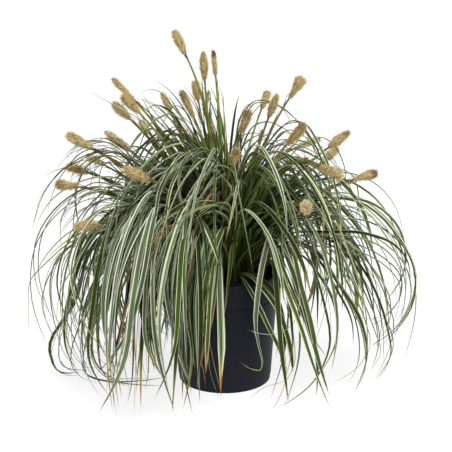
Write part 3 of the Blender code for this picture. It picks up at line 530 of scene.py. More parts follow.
def leaf_finish(look):
    """Striped blades from their own marks.

    place is the share of the width, the share of the length and 1 on the underside. tone is the bloom, a waxy
    grey-green that also stands in for painted sheen on outer leaves and is below 0 on a darker leaf, the
    yellowness and a number of the leaf's own. age is how dead it is, where the browning of its tip starts and
    how strong its fine lines are. margin is the pale left and right margins as shares of the half width, and
    the leaf's length. Low on each leaf and in the heart of the clump the colour is darkened to a near-black
    green, as painted shade.
    """
    finish = Finish("sedge leaves")
    across, along, under = finish.marks("place")
    bloom, yellow, own = finish.marks("tone")
    dead, browning, lines = finish.marks("age")
    left, right, length = finish.marks("margin")
    from_keel = abs(across * 2 - 1)
    metres = along * length
    slow = finish.noise(finish.vector(across * 2, metres * 30, own * 91), 1.0)
    broad = finish.noise(finish.vector(across * 6, metres * 3, own * 57), 1.0, 1.0)
    fine = finish.noise(finish.vector(across * 16, metres * 6, own * 31), 1.0, 1.0)
    patches = finish.noise(finish.vector(across, metres * 14, own * 43), 1.0, 3.0)
    on_left = 1 - across.above(0.46, 0.54)
    margin = left * on_left + right * (1 - on_left)
    pale = (from_keel + (slow - 0.5) * 0.12 + margin - 1).above(-0.04, 0.04)
    stripe = (broad - 0.5) * lines
    thread = (fine - 0.5) * lines
    # Painted sheen: leaves with more bloom blend towards the waxy grey-green, which also stands in for the
    # pale sheen of light on the outer leaves.
    green = finish.mix(bloom.above(0.0, 1.0), look.green, look.bloom)
    green = finish.mix((bloom * -1).above(0.0, 1.0), green, look.dark_green)
    green = finish.mix(yellow, green, look.fresh)
    green = finish.mix(patches.above(0.35, 0.75) * 0.4, green, look.dark_green)
    green = finish.mix(stripe.above(0.05, 0.11) * 0.75 + thread.above(0.12, 0.2) * 0.2, green, look.pale_line)
    green = finish.mix((1 - from_keel.above(0.04, 0.16)) * 0.7, green, look.dark_green)
    cream = finish.mix((bloom + own).above(0.1, 0.85), look.cream, look.white)
    cream = finish.mix(yellow * 0.9, cream, look.fresh_cream)
    cream = finish.mix((thread * -1).above(0.08, 0.22) * 0.55, cream, look.bloom)
    colour = finish.mix(pale, green, cream)
    # Painted shade: low on each leaf, and in the heart of the clump near the middle and below 0.34 m, the
    # colour is darkened to a near-black green in place of the shade among the leaves. A leaf whose own number
    # falls in a narrow band is darkened a little less.
    x, y, height = finish.parts(finish.place())
    heart = (1 - (x * x + y * y).above(0.003, 0.011)) * (1 - height.above(0.22, 0.34))
    caught = own.above(0.68, 0.74) * 0.4
    inside = (1 - along.above(0.1, 0.42)) * (1 - height.above(0.24, 0.3))
    colour = finish.mix(inside * (0.9 - caught), colour, look.clump_shade)
    colour = finish.mix(heart * (0.9 - caught), colour, look.clump_shade)
    colour = finish.mix(under * 0.45, colour, look.underside)
    tan = finish.mix(slow.above(0.3, 0.7), look.tip_orange, look.tip_brown)
    tipped = (along + (slow - 0.5) * 0.06 - browning).above(0.0, 0.05)
    yellowed = (along + (slow - 0.5) * 0.1 - browning).above(-0.1, 0.03) * 0.6
    colour = finish.mix(yellowed, colour, look.tip_yellow)
    colour = finish.mix(tipped, colour, tan)
    withered = finish.mix(fine.above(0.3, 0.7), look.dead_dark, look.dead_pale)
    # Dead leaves in the heart of the clump are darkened by the painted shade as well.
    colour = finish.mix(dead, colour, finish.mix(heart * 0.7, withered, look.clump_shade))
    finish.surface(Base_Color=colour, Roughness=0.42 + patches * 0.16 + dead * 0.3,
                   Specular_IOR_Level=0.12, Normal=finish.bump(fine * 0.6 + broad * 0.4, 0.14 * MM, 0.6))
    finish.glow_through(colour, 0.1)
    return finish.material


def stalk_finish():
    """Each part's own tint, broken up a little, for stems, bracts and bristles that let light through."""
    finish = Finish("flower stalks")
    tint = finish.tint()
    grain = finish.noise(finish.place(), 900.0, 3.0)
    darker = finish.add("ShaderNodeMix", {"data_type": "RGBA", "blend_type": "MULTIPLY"},
                        {0: grain.above(0.35, 0.65) * 0.2, 6: tint, 7: (0.5, 0.42, 0.33)}, output=2)
    finish.surface(Base_Color=darker, Roughness=0.7, Normal=finish.bump(grain, 0.15 * MM, 0.4))
    finish.glow_through(darker, 0.35)
    return finish.material


def pot_finish(look):
    """Dark moulded plastic with flow marks, dull scuffs, dust low down and fine scratches."""
    finish = Finish("pot plastic")
    place = finish.place()
    x, y, height = finish.parts(place)
    clouds = finish.noise(place, 14.0, 4.0)
    specks = finish.noise(place, 420.0, 2.0)
    scratch = finish.noise(finish.vector(x * 60, y * 60, height * 900), 1.0, 3.0, 0.7)
    streaks = finish.noise(finish.vector(x * 160, y * 160, height * 9), 1.0, 2.0)
    low = 1 - (height + clouds * 0.05).above(0.02, 0.09)
    dust = (low * 0.55 + clouds.above(0.5, 0.8) * 0.3) * (0.45 + streaks * 0.6)
    rubbed = scratch.above(0.63, 0.74) * 0.25 + specks.above(0.68, 0.76) * 0.4
    colour = finish.mix(dust * look.dust_amount, look.plastic, look.dust)
    colour = finish.mix(rubbed * look.dust_amount, colour, look.rubbed)
    relief = specks * 0.5 + scratch * 0.3 + clouds
    finish.surface(Base_Color=colour, Roughness=look.roughness + dust * 0.25 - scratch.above(0.6, 0.8) * 0.08,
                   Specular_IOR_Level=0.15, Normal=finish.bump(relief, 0.2 * MM, 0.35))
    return finish.material


def soil_finish(look):
    """Dark damp peat and bark, with crumbs darker and lighter than each other."""
    finish = Finish("potting soil")
    place = finish.place()
    crumbs = finish.noise(place, 260.0, 4.0, 0.7)
    larger = finish.noise(place, 55.0, 3.0)
    colour = finish.mix(crumbs.above(0.35, 0.7), look.peat, look.bark)
    colour = finish.mix(0.55, colour, finish.tint())
    colour = finish.mix(larger.above(0.55, 0.75) * 0.5, colour, look.peat)
    finish.surface(Base_Color=colour, Roughness=0.78 + crumbs * 0.2,
                   Normal=finish.bump(crumbs, 0.6 * MM, 0.8))
    return finish.material


def floor_finish(look):
    """A plain pale floor."""
    finish = Finish("pale floor")
    grain = finish.noise(finish.place(), 30.0, 2.0)
    finish.surface(Base_Color=finish.mix(grain * 0.05, look.floor, (0.5, 0.5, 0.5)), Roughness=0.9,
                   Emission_Color=(1.0, 1.0, 1.0), Emission_Strength=look.floor_glow)
    return finish.material


# Meshes from arrays

def tube_pattern(rings, sides, closed_foot=True):
    """Quads between rings of a tube, and triangles to its tip and across its foot."""
    ring = np.arange(rings - 1)[:, None] * sides
    side = np.arange(sides)[None]
    following = (side + 1) % sides
    quads = np.stack([ring + side, ring + following, ring + following + sides, ring + side + sides], axis=-1)
    last = (rings - 1) * sides
    side, following = side[0], following[0]
    tip = np.full(sides, rings * sides)
    triangles = np.stack([last + side, last + following, tip], axis=-1)
    if closed_foot:
        fan = np.arange(1, sides - 1)
        triangles = np.vstack([triangles, np.stack([0 * fan, fan + 1, fan], axis=-1)])
    return quads.reshape(-1, 4), triangles


class Sheaf:
    """Many small closed surfaces gathered into one mesh, with the numbers that each corner carries."""

    def __init__(self):
        self.points = []
        self.quads = []
        self.triangles = []
        self.marks = {}
        self.count = 0

    def add(self, points, quads, triangles, **marks):
        """Adds one surface."""
        self.points.append(points)
        if len(quads):
            self.quads.append(quads + self.count)
        if len(triangles):
            self.triangles.append(triangles + self.count)
        for name, values in marks.items():
            self.marks.setdefault(name, []).append(np.broadcast_to(values, (len(points), 3)))
        self.count += len(points)

    def piece(self, name, finish, crease=math.radians(60)):
        """The mesh object straight from the arrays, sharp where faces meet at more than the crease angle."""
        points = np.vstack(self.points)
        quads = np.vstack(self.quads) if self.quads else np.empty((0, 4), int)
        triangles = np.vstack(self.triangles) if self.triangles else np.empty((0, 3), int)
        corners = np.concatenate([quads.ravel(), triangles.ravel()])
        starts = np.concatenate([np.arange(len(quads)) * 4, len(quads) * 4 + np.arange(len(triangles)) * 3])
        mesh = bpy.data.meshes.new(name)
        mesh.vertices.add(len(points))
        mesh.vertices.foreach_set("co", points.astype(np.float32).ravel())
        mesh.loops.add(len(corners))
        mesh.loops.foreach_set("vertex_index", corners.astype(np.int32))
        mesh.polygons.add(len(starts))
        mesh.polygons.foreach_set("loop_start", starts.astype(np.int32))
        mesh.update(calc_edges=True)
        for key, values in self.marks.items():
            marked = mesh.attributes.new(key, "FLOAT_VECTOR", "POINT")
            marked.data.foreach_set("vector", np.vstack(values).astype(np.float32).ravel())
        mesh.shade_smooth()
        mesh.set_sharp_from_angle(angle=crease)
        mesh.materials.append(finish)
        made = bpy.data.objects.new(name, mesh)
        bpy.context.scene.collection.objects.link(made)
        return made


def carried(path, start):
    """Two directions across a path, carried along it without turning about it."""
    tangents = unit(np.gradient(path, axis=0))
    side = start
    sides = np.empty_like(path)
    for index, tangent in enumerate(tangents):
        side = unit(side - tangent * (side @ tangent))
        sides[index] = side
    return tangents, sides, np.cross(tangents, sides)


def round_tube(path, radii, sides):
    """P(v, a) = C(v) + r(v) (A(v) cos a + B(v) sin a), ending in the path's last point."""
    lies_along_x = abs(unit(path[1] - path[0])[0]) >= 0.9
    _, first, second = carried(path, np.array([0, 1.0, 0]) if lies_along_x else np.array([1.0, 0, 0]))
    angle = np.arange(sides) * 2 * math.pi / sides
    spokes = first[:-1, None] * np.cos(angle)[:, None] + second[:-1, None] * np.sin(angle)[:, None]
    rings = path[:-1, None] + spokes * radii[:-1, None, None]
    return np.vstack([rings.reshape(-1, 3), path[-1:]]), *tube_pattern(len(path) - 1, sides)


# Leaves

# Round a blade's ring of eight corners: the share of its width, and 0 above, 1 below, 0.5 in the margins
ACROSS = np.array([1.0, 0.75, 0.5, 0.25, 0.0, 0.25, 0.5, 0.75])
UNDER = np.array([0.5, 0, 0, 0, 0.5, 1, 1, 1])
# Even shares of the way along a leaf or sheath
SHARE = np.linspace(0, 1, 9)[:, None]
# A leaf starts this much above the foot of its shoot, and stays this much above the floor
FOOT_LIFT = 4 * MM * UP
FLOOR_GAP = 1.5 * MM
# All the shoots stand within this radius
CLUMP_RADIUS = 56 * MM
# Browning that would start past the tip
NO_BROWNING = 1.3
# Gaps that no finer leaf hangs in: the least and the greatest x, and the greatest y and z
BEFORE_POT = (-8 * MM, 60 * MM, -50 * MM, POT_HEIGHT - 3 * MM)
BEFORE_HOLLOW = (-2 * MM, 60 * MM, -70 * MM, 280 * MM)


def blade_widths(along, length, tangent, line, look, leaf):
    """The width at each place along a blade.

    It opens from 0.3 of the full width at the foot, keeps to a share of the way along and then closes as
    1 - x^p. Where the blade bends sharply it folds, down to half its width.
    """
    opening = 0.3 + 0.7 * np.clip(along / leaf["opening"], 0, 1)
    closing = 1 - np.clip((along - leaf["keep"]) / (1 - leaf["keep"]), 0, 1) ** leaf["point"]
    bends = np.linalg.norm(np.gradient(tangent, axis=0), axis=1) / np.gradient(along * length)
    shut = 1 - 0.5 * np.clip(np.convolve(bends, [0.25, 0.5, 0.25], "same") * look.fold_radius - 0.25, 0, 1)
    least = look.least_width * np.clip((1 - along) / 0.08, 0, 1)
    return np.maximum(line.width * opening * closing * shut, least)


def blade(sheaf, line, look, leaf):
    """Adds a thin channelled blade that ends in a point.

    P(u, v) = C(v) + S(v) w(v) (u - 1/2) - U(v) (k(v) w(v) (1 - |2u - 1|) + t b), where C is the middle
    line, S the width direction, U the direction above the blade, w the width, k the channel's depth as a
    share of it, t the thickness and b is 0 above and 1 below, so that both faces meet in the two margins.
    """
    path, where = smooth_curve(line.centres, look.stations)
    path[:, 2] = np.maximum(path[:, 2], FLOOR_GAP)
    index = np.arange(len(line.centres))
    side = np.stack([np.interp(where, index, line.sides[:, axis]) for axis in range(3)], axis=1)
    tangent = unit(np.gradient(path, axis=0))
    side = unit(side - tangent * (side * tangent).sum(1, keepdims=True))
    steps = np.linalg.norm(np.diff(path, axis=0), axis=1)
    length = steps.sum()
    along = np.append(0, np.cumsum(steps)) / length
    turn = (leaf["twist"] * along)[:, None]
    side = side * np.cos(turn) + np.cross(tangent, side) * np.sin(turn)
    above = np.cross(tangent, side)
    width = blade_widths(along, length, tangent, line, look, leaf)
    fold = leaf["fold"] * (1 + 1.2 * np.clip(1 - along / 0.2, 0, 1)) * (1 - 0.5 * along)
    offset = side[:-1, None] * (width[:-1, None] * (ACROSS - 0.5))[..., None]
    depth = (width * fold)[:-1, None] * (1 - np.abs(2 * ACROSS - 1)) + np.where(UNDER == 1, look.thickness, 0)
    rings = path[:-1, None] + offset - above[:-1, None] * depth[..., None]
    count = len(path) - 1
    place = [np.tile(ACROSS, count), np.repeat(along[:-1], len(ACROSS)), np.tile(UNDER, count)]
    sheaf.add(np.vstack([rings.reshape(-1, 3), path[-1:]]), *tube_pattern(count, len(ACROSS)),
              place=np.vstack([np.stack(place, axis=1), [0.5, 1.0, 0.5]]),
              tone=(leaf["bloom"], leaf["yellow"], leaf["own"]),
              age=(leaf["dead"], leaf["browning"], leaf["lines"]),
              margin=(leaf["left"], leaf["right"], length))


def one_leaf(look, chance, outward, **known):
    """The shape and marks of one leaf, drawn from its own chances, apart from what is known of it.

    outward is 0 for a leaf in the heart of the clump and 1 for one that hangs outside it.
    """
    striped = 0.25 + 0.75 * outward
    leaf = {
        "fold": chance.uniform(0.2, 0.36),
        "twist": math.radians(chance.uniform(-45, 45)),
        "opening": chance.uniform(0.35, 0.55),
        "keep": chance.uniform(0.55, 0.85),
        "point": chance.uniform(1.1, 1.9),
        # Painted light and shade: the bloom and the fine pale lines grow with outward, so outer leaves come
        # out paler, as painted sheen, and inner ones darker, as painted shade.
        "bloom": -1 + chance.random() + outward * chance.uniform(0.5, 1),
        "yellow": max(0.0, 1 - outward) * chance.random() ** 1.5,
        "own": chance.random(),
        "dead": 0.0,
        "browning": NO_BROWNING if chance.random() < 0.55 else 1 - 0.14 * chance.random() ** 2,
        "lines": (0.3 + 0.7 * outward) * (0.2 + 1.4 * chance.random() ** 1.5),
        "left": striped * chance.uniform(0.08, 0.46),
        "right": striped * chance.uniform(0.08, 0.46),
    }
    if leaf["own"] < look.dark_share:
        leaf["bloom"] = -0.8
        leaf["lines"] *= 0.3
        leaf["left"] *= 0.35
        leaf["right"] *= 0.35
    leaf.update(known)
    return leaf


def hangs_in(gap, centres):
    """Whether a leaf with these places passes through a gap."""
    left, right, back, top = gap
    x, y, z = centres.T
    return bool(((x > left) & (x < right) & (y < back) & (z < top)).any())


def hides_middle(centres):
    """Whether a leaf would hang before the pot's right half or before the dark hollow above it."""
    return hangs_in(BEFORE_POT, centres) or hangs_in(BEFORE_HOLLOW, centres)


def hero(tip):
    """What is known of the leaf that ends at a place, if it is one that shows by itself."""
    for place, known in HERO_LEAVES:
        if np.linalg.norm(tip - np.array(place) * MM) < 6 * MM:
            return known
    return {}


def sheath(sheaf, foot, chance):
    """The brown-red bundle of leaf bases that a tuft stands on: a short tube that leans out."""
    height = chance.uniform(0.034, 0.048)
    share, sides = SHARE[:, 0], 10
    lean = foot[:2] / CLUMP_RADIUS * 6 * MM
    path = foot + np.stack([lean[0] * share**2, lean[1] * share**2, height * share], axis=1)
    radii = np.interp(share, [0, 0.25, 0.7, 1], [0.0036, 0.0048, 0.0044, 0.002])
    around = np.append(np.tile(np.arange(sides) / sides, len(share) - 1), 0.5)
    along = np.append(np.repeat(share[:-1], sides), 1.0)
    dead = np.clip(0.6 - along * 0.9, 0, 1)
    sheaf.add(*round_tube(path, radii, sides), place=np.stack([around, along, 0 * along], axis=1),
              tone=(-1.0, 0.1, chance.random()), age=np.stack([dead, 0 * dead + 1.2, 0 * dead + 1], axis=1),
              margin=(0.05, 0.05, 0.02))


def upright_line(foot, heading, out, up, width):
    """The line of a leaf in an upright plane: C(v) = F + O out(v) + Z up(v)."""
    outward = np.array([math.cos(heading), math.sin(heading), 0])
    centres = foot + outward * out + UP * up
    return LeafLine(centres, np.broadcast_to(np.cross(UP, outward), centres.shape), width)


def young_leaves(sheaf, foot, look, chance):
    """Short upright leaves in the heart of a shoot: out is l v^2 and up is h (v - v^2 / 5)."""
    inward = 1 - np.hypot(*foot[:2]) / CLUMP_RADIUS
    for _ in range(look.young):
        heading = math.atan2(foot[1], foot[0]) + chance.uniform(-1.2, 1.2)
        height = 0.07 + 0.07 * chance.random() + 0.16 * inward * chance.random()
        lean = height * chance.uniform(0.1, 0.6)
        line = upright_line(foot, heading, lean * SHARE**2, height * (SHARE - SHARE**2 / 5),
                            chance.uniform(2.4, 4.2) * MM)
        leaf = one_leaf(look, chance, 0.0, dead=0.7 * (chance.random() < 0.06), lines=0.2, left=0.04,
                        right=0.04, bloom=-0.5 - 0.5 * chance.random())
        if not hangs_in(BEFORE_POT, line.centres):
            blade(sheaf, line, look, leaf)


def arching_leaves(sheaf, foot, look, chance):
    """Fine leaves that arch out inside the dome: out is l v^1.5 and up is h (v - 0.6 v^2)."""
    for _ in range(look.arching):
        heading = math.atan2(foot[1], foot[0]) + chance.uniform(-1.4, 1.4)
        height = chance.uniform(0.2, 0.4)
        lean = chance.uniform(0.05, 0.14)
        line = upright_line(foot, heading, lean * SHARE**1.5, height * (SHARE - 0.6 * SHARE**2),
                            chance.uniform(2.8, 4.4) * MM)
        leaf = one_leaf(look, chance, 0.5, yellow=chance.uniform(0, 0.7), lines=chance.uniform(0, 0.8))
        if not hides_middle(line.centres):
            blade(sheaf, line, look, leaf)


def crown_leaves(sheaf, foot, look, chance):
    """Tall leaves that lean to the left in the crown: out is l v^2.2 and up is h (v - v^4 / 5)."""
    for _ in range(look.crown):
        heading = math.radians(chance.uniform(75, 205))
        height = chance.uniform(0.2, 0.33)
        lean = chance.uniform(0, 0.11)
        line = upright_line(foot, heading, lean * SHARE**2.2, height * (SHARE - SHARE**4 / 5),
                            chance.uniform(3, 5) * MM)
        blade(sheaf, line, look, one_leaf(look, chance, 0.5, dead=float(chance.random() < 0.1)))


def outwardness(crest, tip):
    """0 for a main leaf in the heart of the clump, and about 1 for one that hangs outside it.

    A leaf behind the middle counts as further in unless it hangs low, and one at the left as further out,
    which makes the left side paler, as painted light.
    """
    reach = np.clip((np.hypot(*tip[:2]) - 0.07) / 0.12, 0, 1)
    behind = np.clip(crest[1] / 0.07, 0, 1) * np.clip((tip[2] - 0.12) / 0.08, 0, 1)
    # Painted light: the factor 1.2 makes leaves at the left paler.
    return float(reach * (1 - 0.65 * behind)) * (1.2 if tip[0] < -0.05 else 1)


def main_line(line, crest, foot, chance, known, leaf):
    """The line of a main leaf as it shows.

    It is narrower than the solid's, or as wide as is known, and it can have a known route. The other
    leaves in the middle of the crown would hide the stems, so they are narrowed further, lowered and
    turned edge-on by their twist.
    """
    if line.width > 3.2 * MM:
        line.width = max((0.78 if crest[2] > 0.29 else 0.88) * line.width, 4.4 * MM)
    if "width" in known:
        line.width = known["width"] * MM
    if "route" in known:
        centres = np.vstack([line.centres[:2], np.array(known["route"]) * MM])
        return LeafLine(centres, np.broadcast_to([1.0, 0, 0], centres.shape), line.width)
    if abs(crest[0]) < 0.035 and crest[2] > 0.3 and crest[1] > 0.03 and not known:
        leaf["twist"] = math.copysign(1.1, leaf["twist"])
        return line.moved(foot, rise=0.84, narrowing=0.5)
    if crest[0] > 0.03 and crest[2] > 0.335:
        line.width *= 0.7
    elif abs(crest[0]) < 0.03 and crest[2] > 0.29 and not known:
        leaf["twist"] = math.copysign(1.2, leaf["twist"])
        return line.moved(foot, rise=0.97, sway=0.04 * chance.choice([-1, 1]), narrowing=0.6)
    return line


def neighbours(crest, tip, look):
    """What to set beside a main leaf, from where its crest and tip are.

    Gives how many leaves, the least shares of its height and of its reach that they have, and the least
    share of its length. The left side of the clump is the fullest and the right side the most open.
    """
    x, y, z = crest
    count = look.companions + int(z > 0.25) + int(y > 0 or tip[2] < 0.12)
    if x < -0.085 and tip[2] < 0.07 and tip[1] > -0.1:
        return count + 3 * int(tip[2] > 0.01), 0.94, 0.88, 0.66
    if x < -0.13 and z > 0.27:
        return count + 2, 0.97, 0.8, 0.45
    if x < -0.13:
        return count + 1, 0.92, 0.78, 0.8
    if x < -0.06:
        return count + 1 + 2 * int(z > 0.26), 0.88, 0.8, 0.6
    if x > -0.035 and z > 0.32:
        return 1, 0.74, 0.76, 0.66
    if x > 0.1:
        return count - 3 - int(y > 0.02) + 2 * int(tip[2] < 0.07), 0.84, 0.94, 0.6
    if x > 0 and y < -0.04:
        return count, 0.84, 0.76, 0.66
    return count, 0.76, 0.76, 0.66


def hanging_line(line, tip, chance):
    """The line with a hanging end, as long and as far to the side as fits the part of the clump."""
    if abs(tip[0]) > 0.19:
        return line.longer(chance.uniform(0.12, 0.22), 0.0)
    if tip[0] > 0.06 and tip[1] < -0.08:
        return line.longer(chance.uniform(0.08, 0.18), -0.1)
    if tip[0] > -0.11:
        return line.longer(chance.uniform(0.04, 0.11), math.copysign(0.6, tip[0]))
    return line.longer(chance.uniform(0.07, 0.17), -0.6)


def finer_leaves(sheaf, foot, look, chance, line, crest, tip, outward):
    """Finer leaves beside a main one. Each is drawn up to three times, until it doesn't hide the middle."""
    beside, lowest, nearest, shortest = neighbours(crest, tip, look)
    hanging = line
    if tip[2] > 0.12 and crest[2] - tip[2] > 0.04 and np.hypot(*tip[:2]) > 0.12 and shortest > 0.5:
        hanging = hanging_line(line, tip, chance)
    for _ in range(beside):
        for _ in range(3):
            turn = math.radians(3 + 23 * chance.random() ** 1.5) * chance.choice([-1, 1])
            near = hanging if chance.random() < 0.65 else line
            near = near.moved(foot, turn, reach=nearest + 0.24 * chance.random(),
                              rise=lowest + (1.03 - lowest) * chance.random(),
                              drop=chance.uniform(0.85, 1.15), sway=chance.uniform(-0.05, 0.05),
                              bow=chance.uniform(-0.025, 0.025), curl=chance.uniform(0, 0.4),
                              cut=1 - (1 - shortest) * chance.random() ** 1.5,
                              narrowing=chance.uniform(0.5, 1))
            near.width = max(near.width, 2.8 * MM)
            if not hides_middle(near.centres):
                blade(sheaf, near, look, one_leaf(look, chance, outward * 0.85))
                break


def dead_leaf(sheaf, foot, look, chance, line, outward):
    """A narrow dead leaf, lower and further in than the main leaf beside it."""
    turn = math.radians(chance.uniform(8, 28)) * chance.choice([-1, 1])
    near = line.moved(foot, turn, reach=chance.uniform(0.6, 0.9), rise=chance.uniform(0.6, 0.9), drop=0.9,
                      sway=chance.uniform(-0.04, 0.04), bow=chance.uniform(-0.02, 0.02),
                      curl=chance.uniform(0, 0.3), cut=1 - 0.4 * chance.random(), narrowing=0.42)
    leaf = one_leaf(look, chance, outward, dead=chance.uniform(0.75, 1), fold=0.32)
    if not hides_middle(near.centres):
        blade(sheaf, near, look, leaf)


def limb_leaves(sheaf, foot, look, chance, limb):
    """The main leaf on a limb of the solid, the finer leaves beside it and, beside some, a dead one."""
    line = leaf_line(limb, foot + FOOT_LIFT)
    tip = line.centres[-1]
    crest = line.centres[line.centres[:, 2].argmax()]
    outward = outwardness(crest, tip)
    known = hero(tip)
    marks = {key: value for key, value in known.items() if key not in ("width", "route")}
    leaf = one_leaf(look, chance, outward, **marks)
    # Painted light: main leaves on the left get more bloom, so the left side comes out paler.
    if not known and tip[0] < 0:
        leaf["bloom"] += 0.3
    elif not known:
        leaf["yellow"] *= 0.3
    line = main_line(line, crest, foot, chance, known, leaf)
    blade(sheaf, line, look, leaf)
    finer_leaves(sheaf, foot, look, chance, line, crest, tip, outward)
    if chance.random() < look.dead_share:
        dead_leaf(sheaf, foot, look, chance, line, outward)


def extra_leaves(sheaf, foot, look, chance, beside, known, route):
    """A leaf that passes the places of its route, half turned to the front, and others like it close by."""
    centres = np.vstack([foot + FOOT_LIFT, np.array(route) * MM])
    side = unit(np.array([0.5, math.copysign(0.8, centres[-1, 0]), 0]))
    line = LeafLine(centres, np.broadcast_to(side, centres.shape), known["width"] * MM)
    marks = {key: value for key, value in known.items() if key != "width"}
    blade(sheaf, line, look, one_leaf(look, chance, 0.8, **marks))
    for _ in range(beside):
        turn = math.radians(chance.uniform(2, 9)) * chance.choice([-1, 1])
        near = line.moved(foot, turn, reach=chance.uniform(0.9, 1), rise=chance.uniform(0.92, 1.04),
                          drop=chance.uniform(0.85, 1.05), sway=chance.uniform(-0.025, 0.025),
                          bow=chance.uniform(-0.015, 0.015), curl=chance.uniform(0, 0.1),
                          cut=1 - 0.3 * chance.random(), narrowing=chance.uniform(0.7, 1))
        marks["bloom"] = known.get("bloom", 0.0) + chance.uniform(-0.3, 0.3)
        blade(sheaf, near, look, one_leaf(look, chance, 0.8, **marks))


def tuft_foot(node):
    """The middle of the lowest corners that a tuft's solid has near the soil."""
    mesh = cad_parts[node].data
    corners = np.empty(len(mesh.vertices) * 3)
    mesh.vertices.foreach_get("co", corners)
    corners = corners.reshape(-1, 3)
    near_soil = corners[(np.abs(corners[:, 2] - SOIL_TOP) < 0.03) & (np.hypot(*corners[:, :2].T) < 0.07)]
    return near_soil[near_soil[:, 2] < near_soil[:, 2].min() + 0.5 * MM].mean(axis=0)


def leaf_tuft(node, look, finish):
    """One shoot: its sheath, the leaves in its heart, those on the solid's limbs and those with routes."""
    number = int(node.rsplit("_", 1)[1])
    limbs = rings_from_tips(node, sides=3, rings=7)
    if not limbs:
        raise RuntimeError("no blade found in " + node)
    foot = tuft_foot(node)
    sheaf = Sheaf()
    chance = np.random.default_rng((SEED, number))
    sheath(sheaf, foot, chance)
    young_leaves(sheaf, foot, look, chance)
    if foot[0] < 0.013 and np.hypot(*foot[:2]) < CLUMP_RADIUS / 2:
        crown_leaves(sheaf, foot, look, chance)
    arching_leaves(sheaf, foot, look, np.random.default_rng((SEED, number, ARCHING_STREAM)))
    for order, limb in enumerate(limbs):
        limb_leaves(sheaf, foot, look, np.random.default_rng((SEED, number, order)), limb)
    for order, (owner, *row) in enumerate(EXTRA_LEAVES):
        if owner == number:
            extra_leaves(sheaf, foot, look, np.random.default_rng((SEED, EXTRA_STREAM + order)), *row)
    piece = sheaf.piece(node.replace("leaf_tuft", "striped_leaves"), finish)
    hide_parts(node)
    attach(piece, "root")


# Flower stalks

# The corners of a four-sided spindle along Z, of length and width 1
SPINDLE = np.array([[0, 0, 0], [0.5, 0, 0.55], [0, 0.5, 0.55], [-0.5, 0, 0.55], [0, -0.5, 0.55], [0, 0, 1]])
SPINDLE_FACES = np.array([[0, 2, 1], [0, 3, 2], [0, 4, 3], [0, 1, 4], [1, 2, 5], [2, 3, 5], [3, 4, 5],
                          [4, 1, 5]])
STEM_STATIONS = 34
STEM_SIDES = 7


def along_spike(share, bluntness):
    """How thick a spike is along its length: a pointed one is widest in the middle, a blunt one past it."""
    read = [0, 0.1, 0.25, 0.45, 0.6, 0.76, 0.88, 0.96, 1]
    pointed = np.interp(share, read, [0.24, 0.48, 0.76, 0.94, 0.9, 0.74, 0.54, 0.34, 0.12])
    blunt = np.interp(share, read, [0.2, 0.36, 0.56, 0.78, 0.9, 1.0, 0.95, 0.74, 0.35])
    return pointed + (blunt - pointed) * bluntness


def bristles(sheaf, ends, radii, look, chance, count, tints, lift, size, bare, brown_tip):
    """Spindles set on a golden-angle spiral along the spike, each leaning outwards and up.

    A spindle points along D = R(a) cos(m) + T sin(m), where T is the spike's axis, R(a) the direction at
    angle a round it and m the slant, which starts at the lift and grows towards the tip. Its foot is at
    C(v) + R(a) r(v) - (1 - b) l D, but not below the spike's own foot, where r is the spike's radius, given
    at even steps, l the spindle's length and b the share of it that is bare.
    """
    share = (np.arange(count) + chance.random(count)) / count
    angle = np.arange(count) * GOLDEN_ANGLE
    start, end = ends
    axis = unit(end - start)
    first = unit(np.cross(axis, [0.31, 0.95, 0.07]))
    second = np.cross(axis, first)
    outward = first * np.cos(angle)[:, None] + second * np.sin(angle)[:, None]
    around = np.interp(share, np.linspace(0, 1, len(radii)), radii)
    slant = np.radians(lift + 26 * share + chance.uniform(-11, 11, count))[:, None]
    slant = np.minimum(slant, math.radians(86))
    heading = outward * np.cos(slant) + axis * np.sin(slant)
    length = look.bristle_length * size * chance.uniform(0.7, 1.3, count)
    foot = start + (end - start) * share[:, None] - heading * (length * (1 - bare))[:, None]
    foot = foot + outward * around[:, None]
    foot = foot + axis * np.maximum(0, ((start - foot) @ axis))[:, None]
    wide = look.bristle_width * chance.uniform(0.7, 1.3, count) * size
    side = unit(np.cross(heading, outward + 0.01))
    other = np.cross(heading, side) * 0.5
    points = foot[:, None] + side[:, None] * (SPINDLE[:, 0] * wide[:, None])[..., None]
    points = points + other[:, None] * (SPINDLE[:, 1] * wide[:, None])[..., None]
    points = points + heading[:, None] * (SPINDLE[:, 2] * length[:, None])[..., None]
    faces = SPINDLE_FACES + (np.arange(count) * len(SPINDLE))[:, None, None]
    tint = np.array(tints)[chance.integers(0, len(tints), count)] * chance.uniform(0.8, 1.15, (count, 1))
    brown = (brown_tip * np.clip((share - 0.72) / 0.12, 0, 1))[:, None]
    tint = np.minimum(tint, 1.0) * (1 - brown) + np.array(look.scale) * brown
    sheaf.add(points.reshape(-1, 3), [], faces.reshape(-1, 3), tint=np.repeat(tint, len(SPINDLE), axis=0))


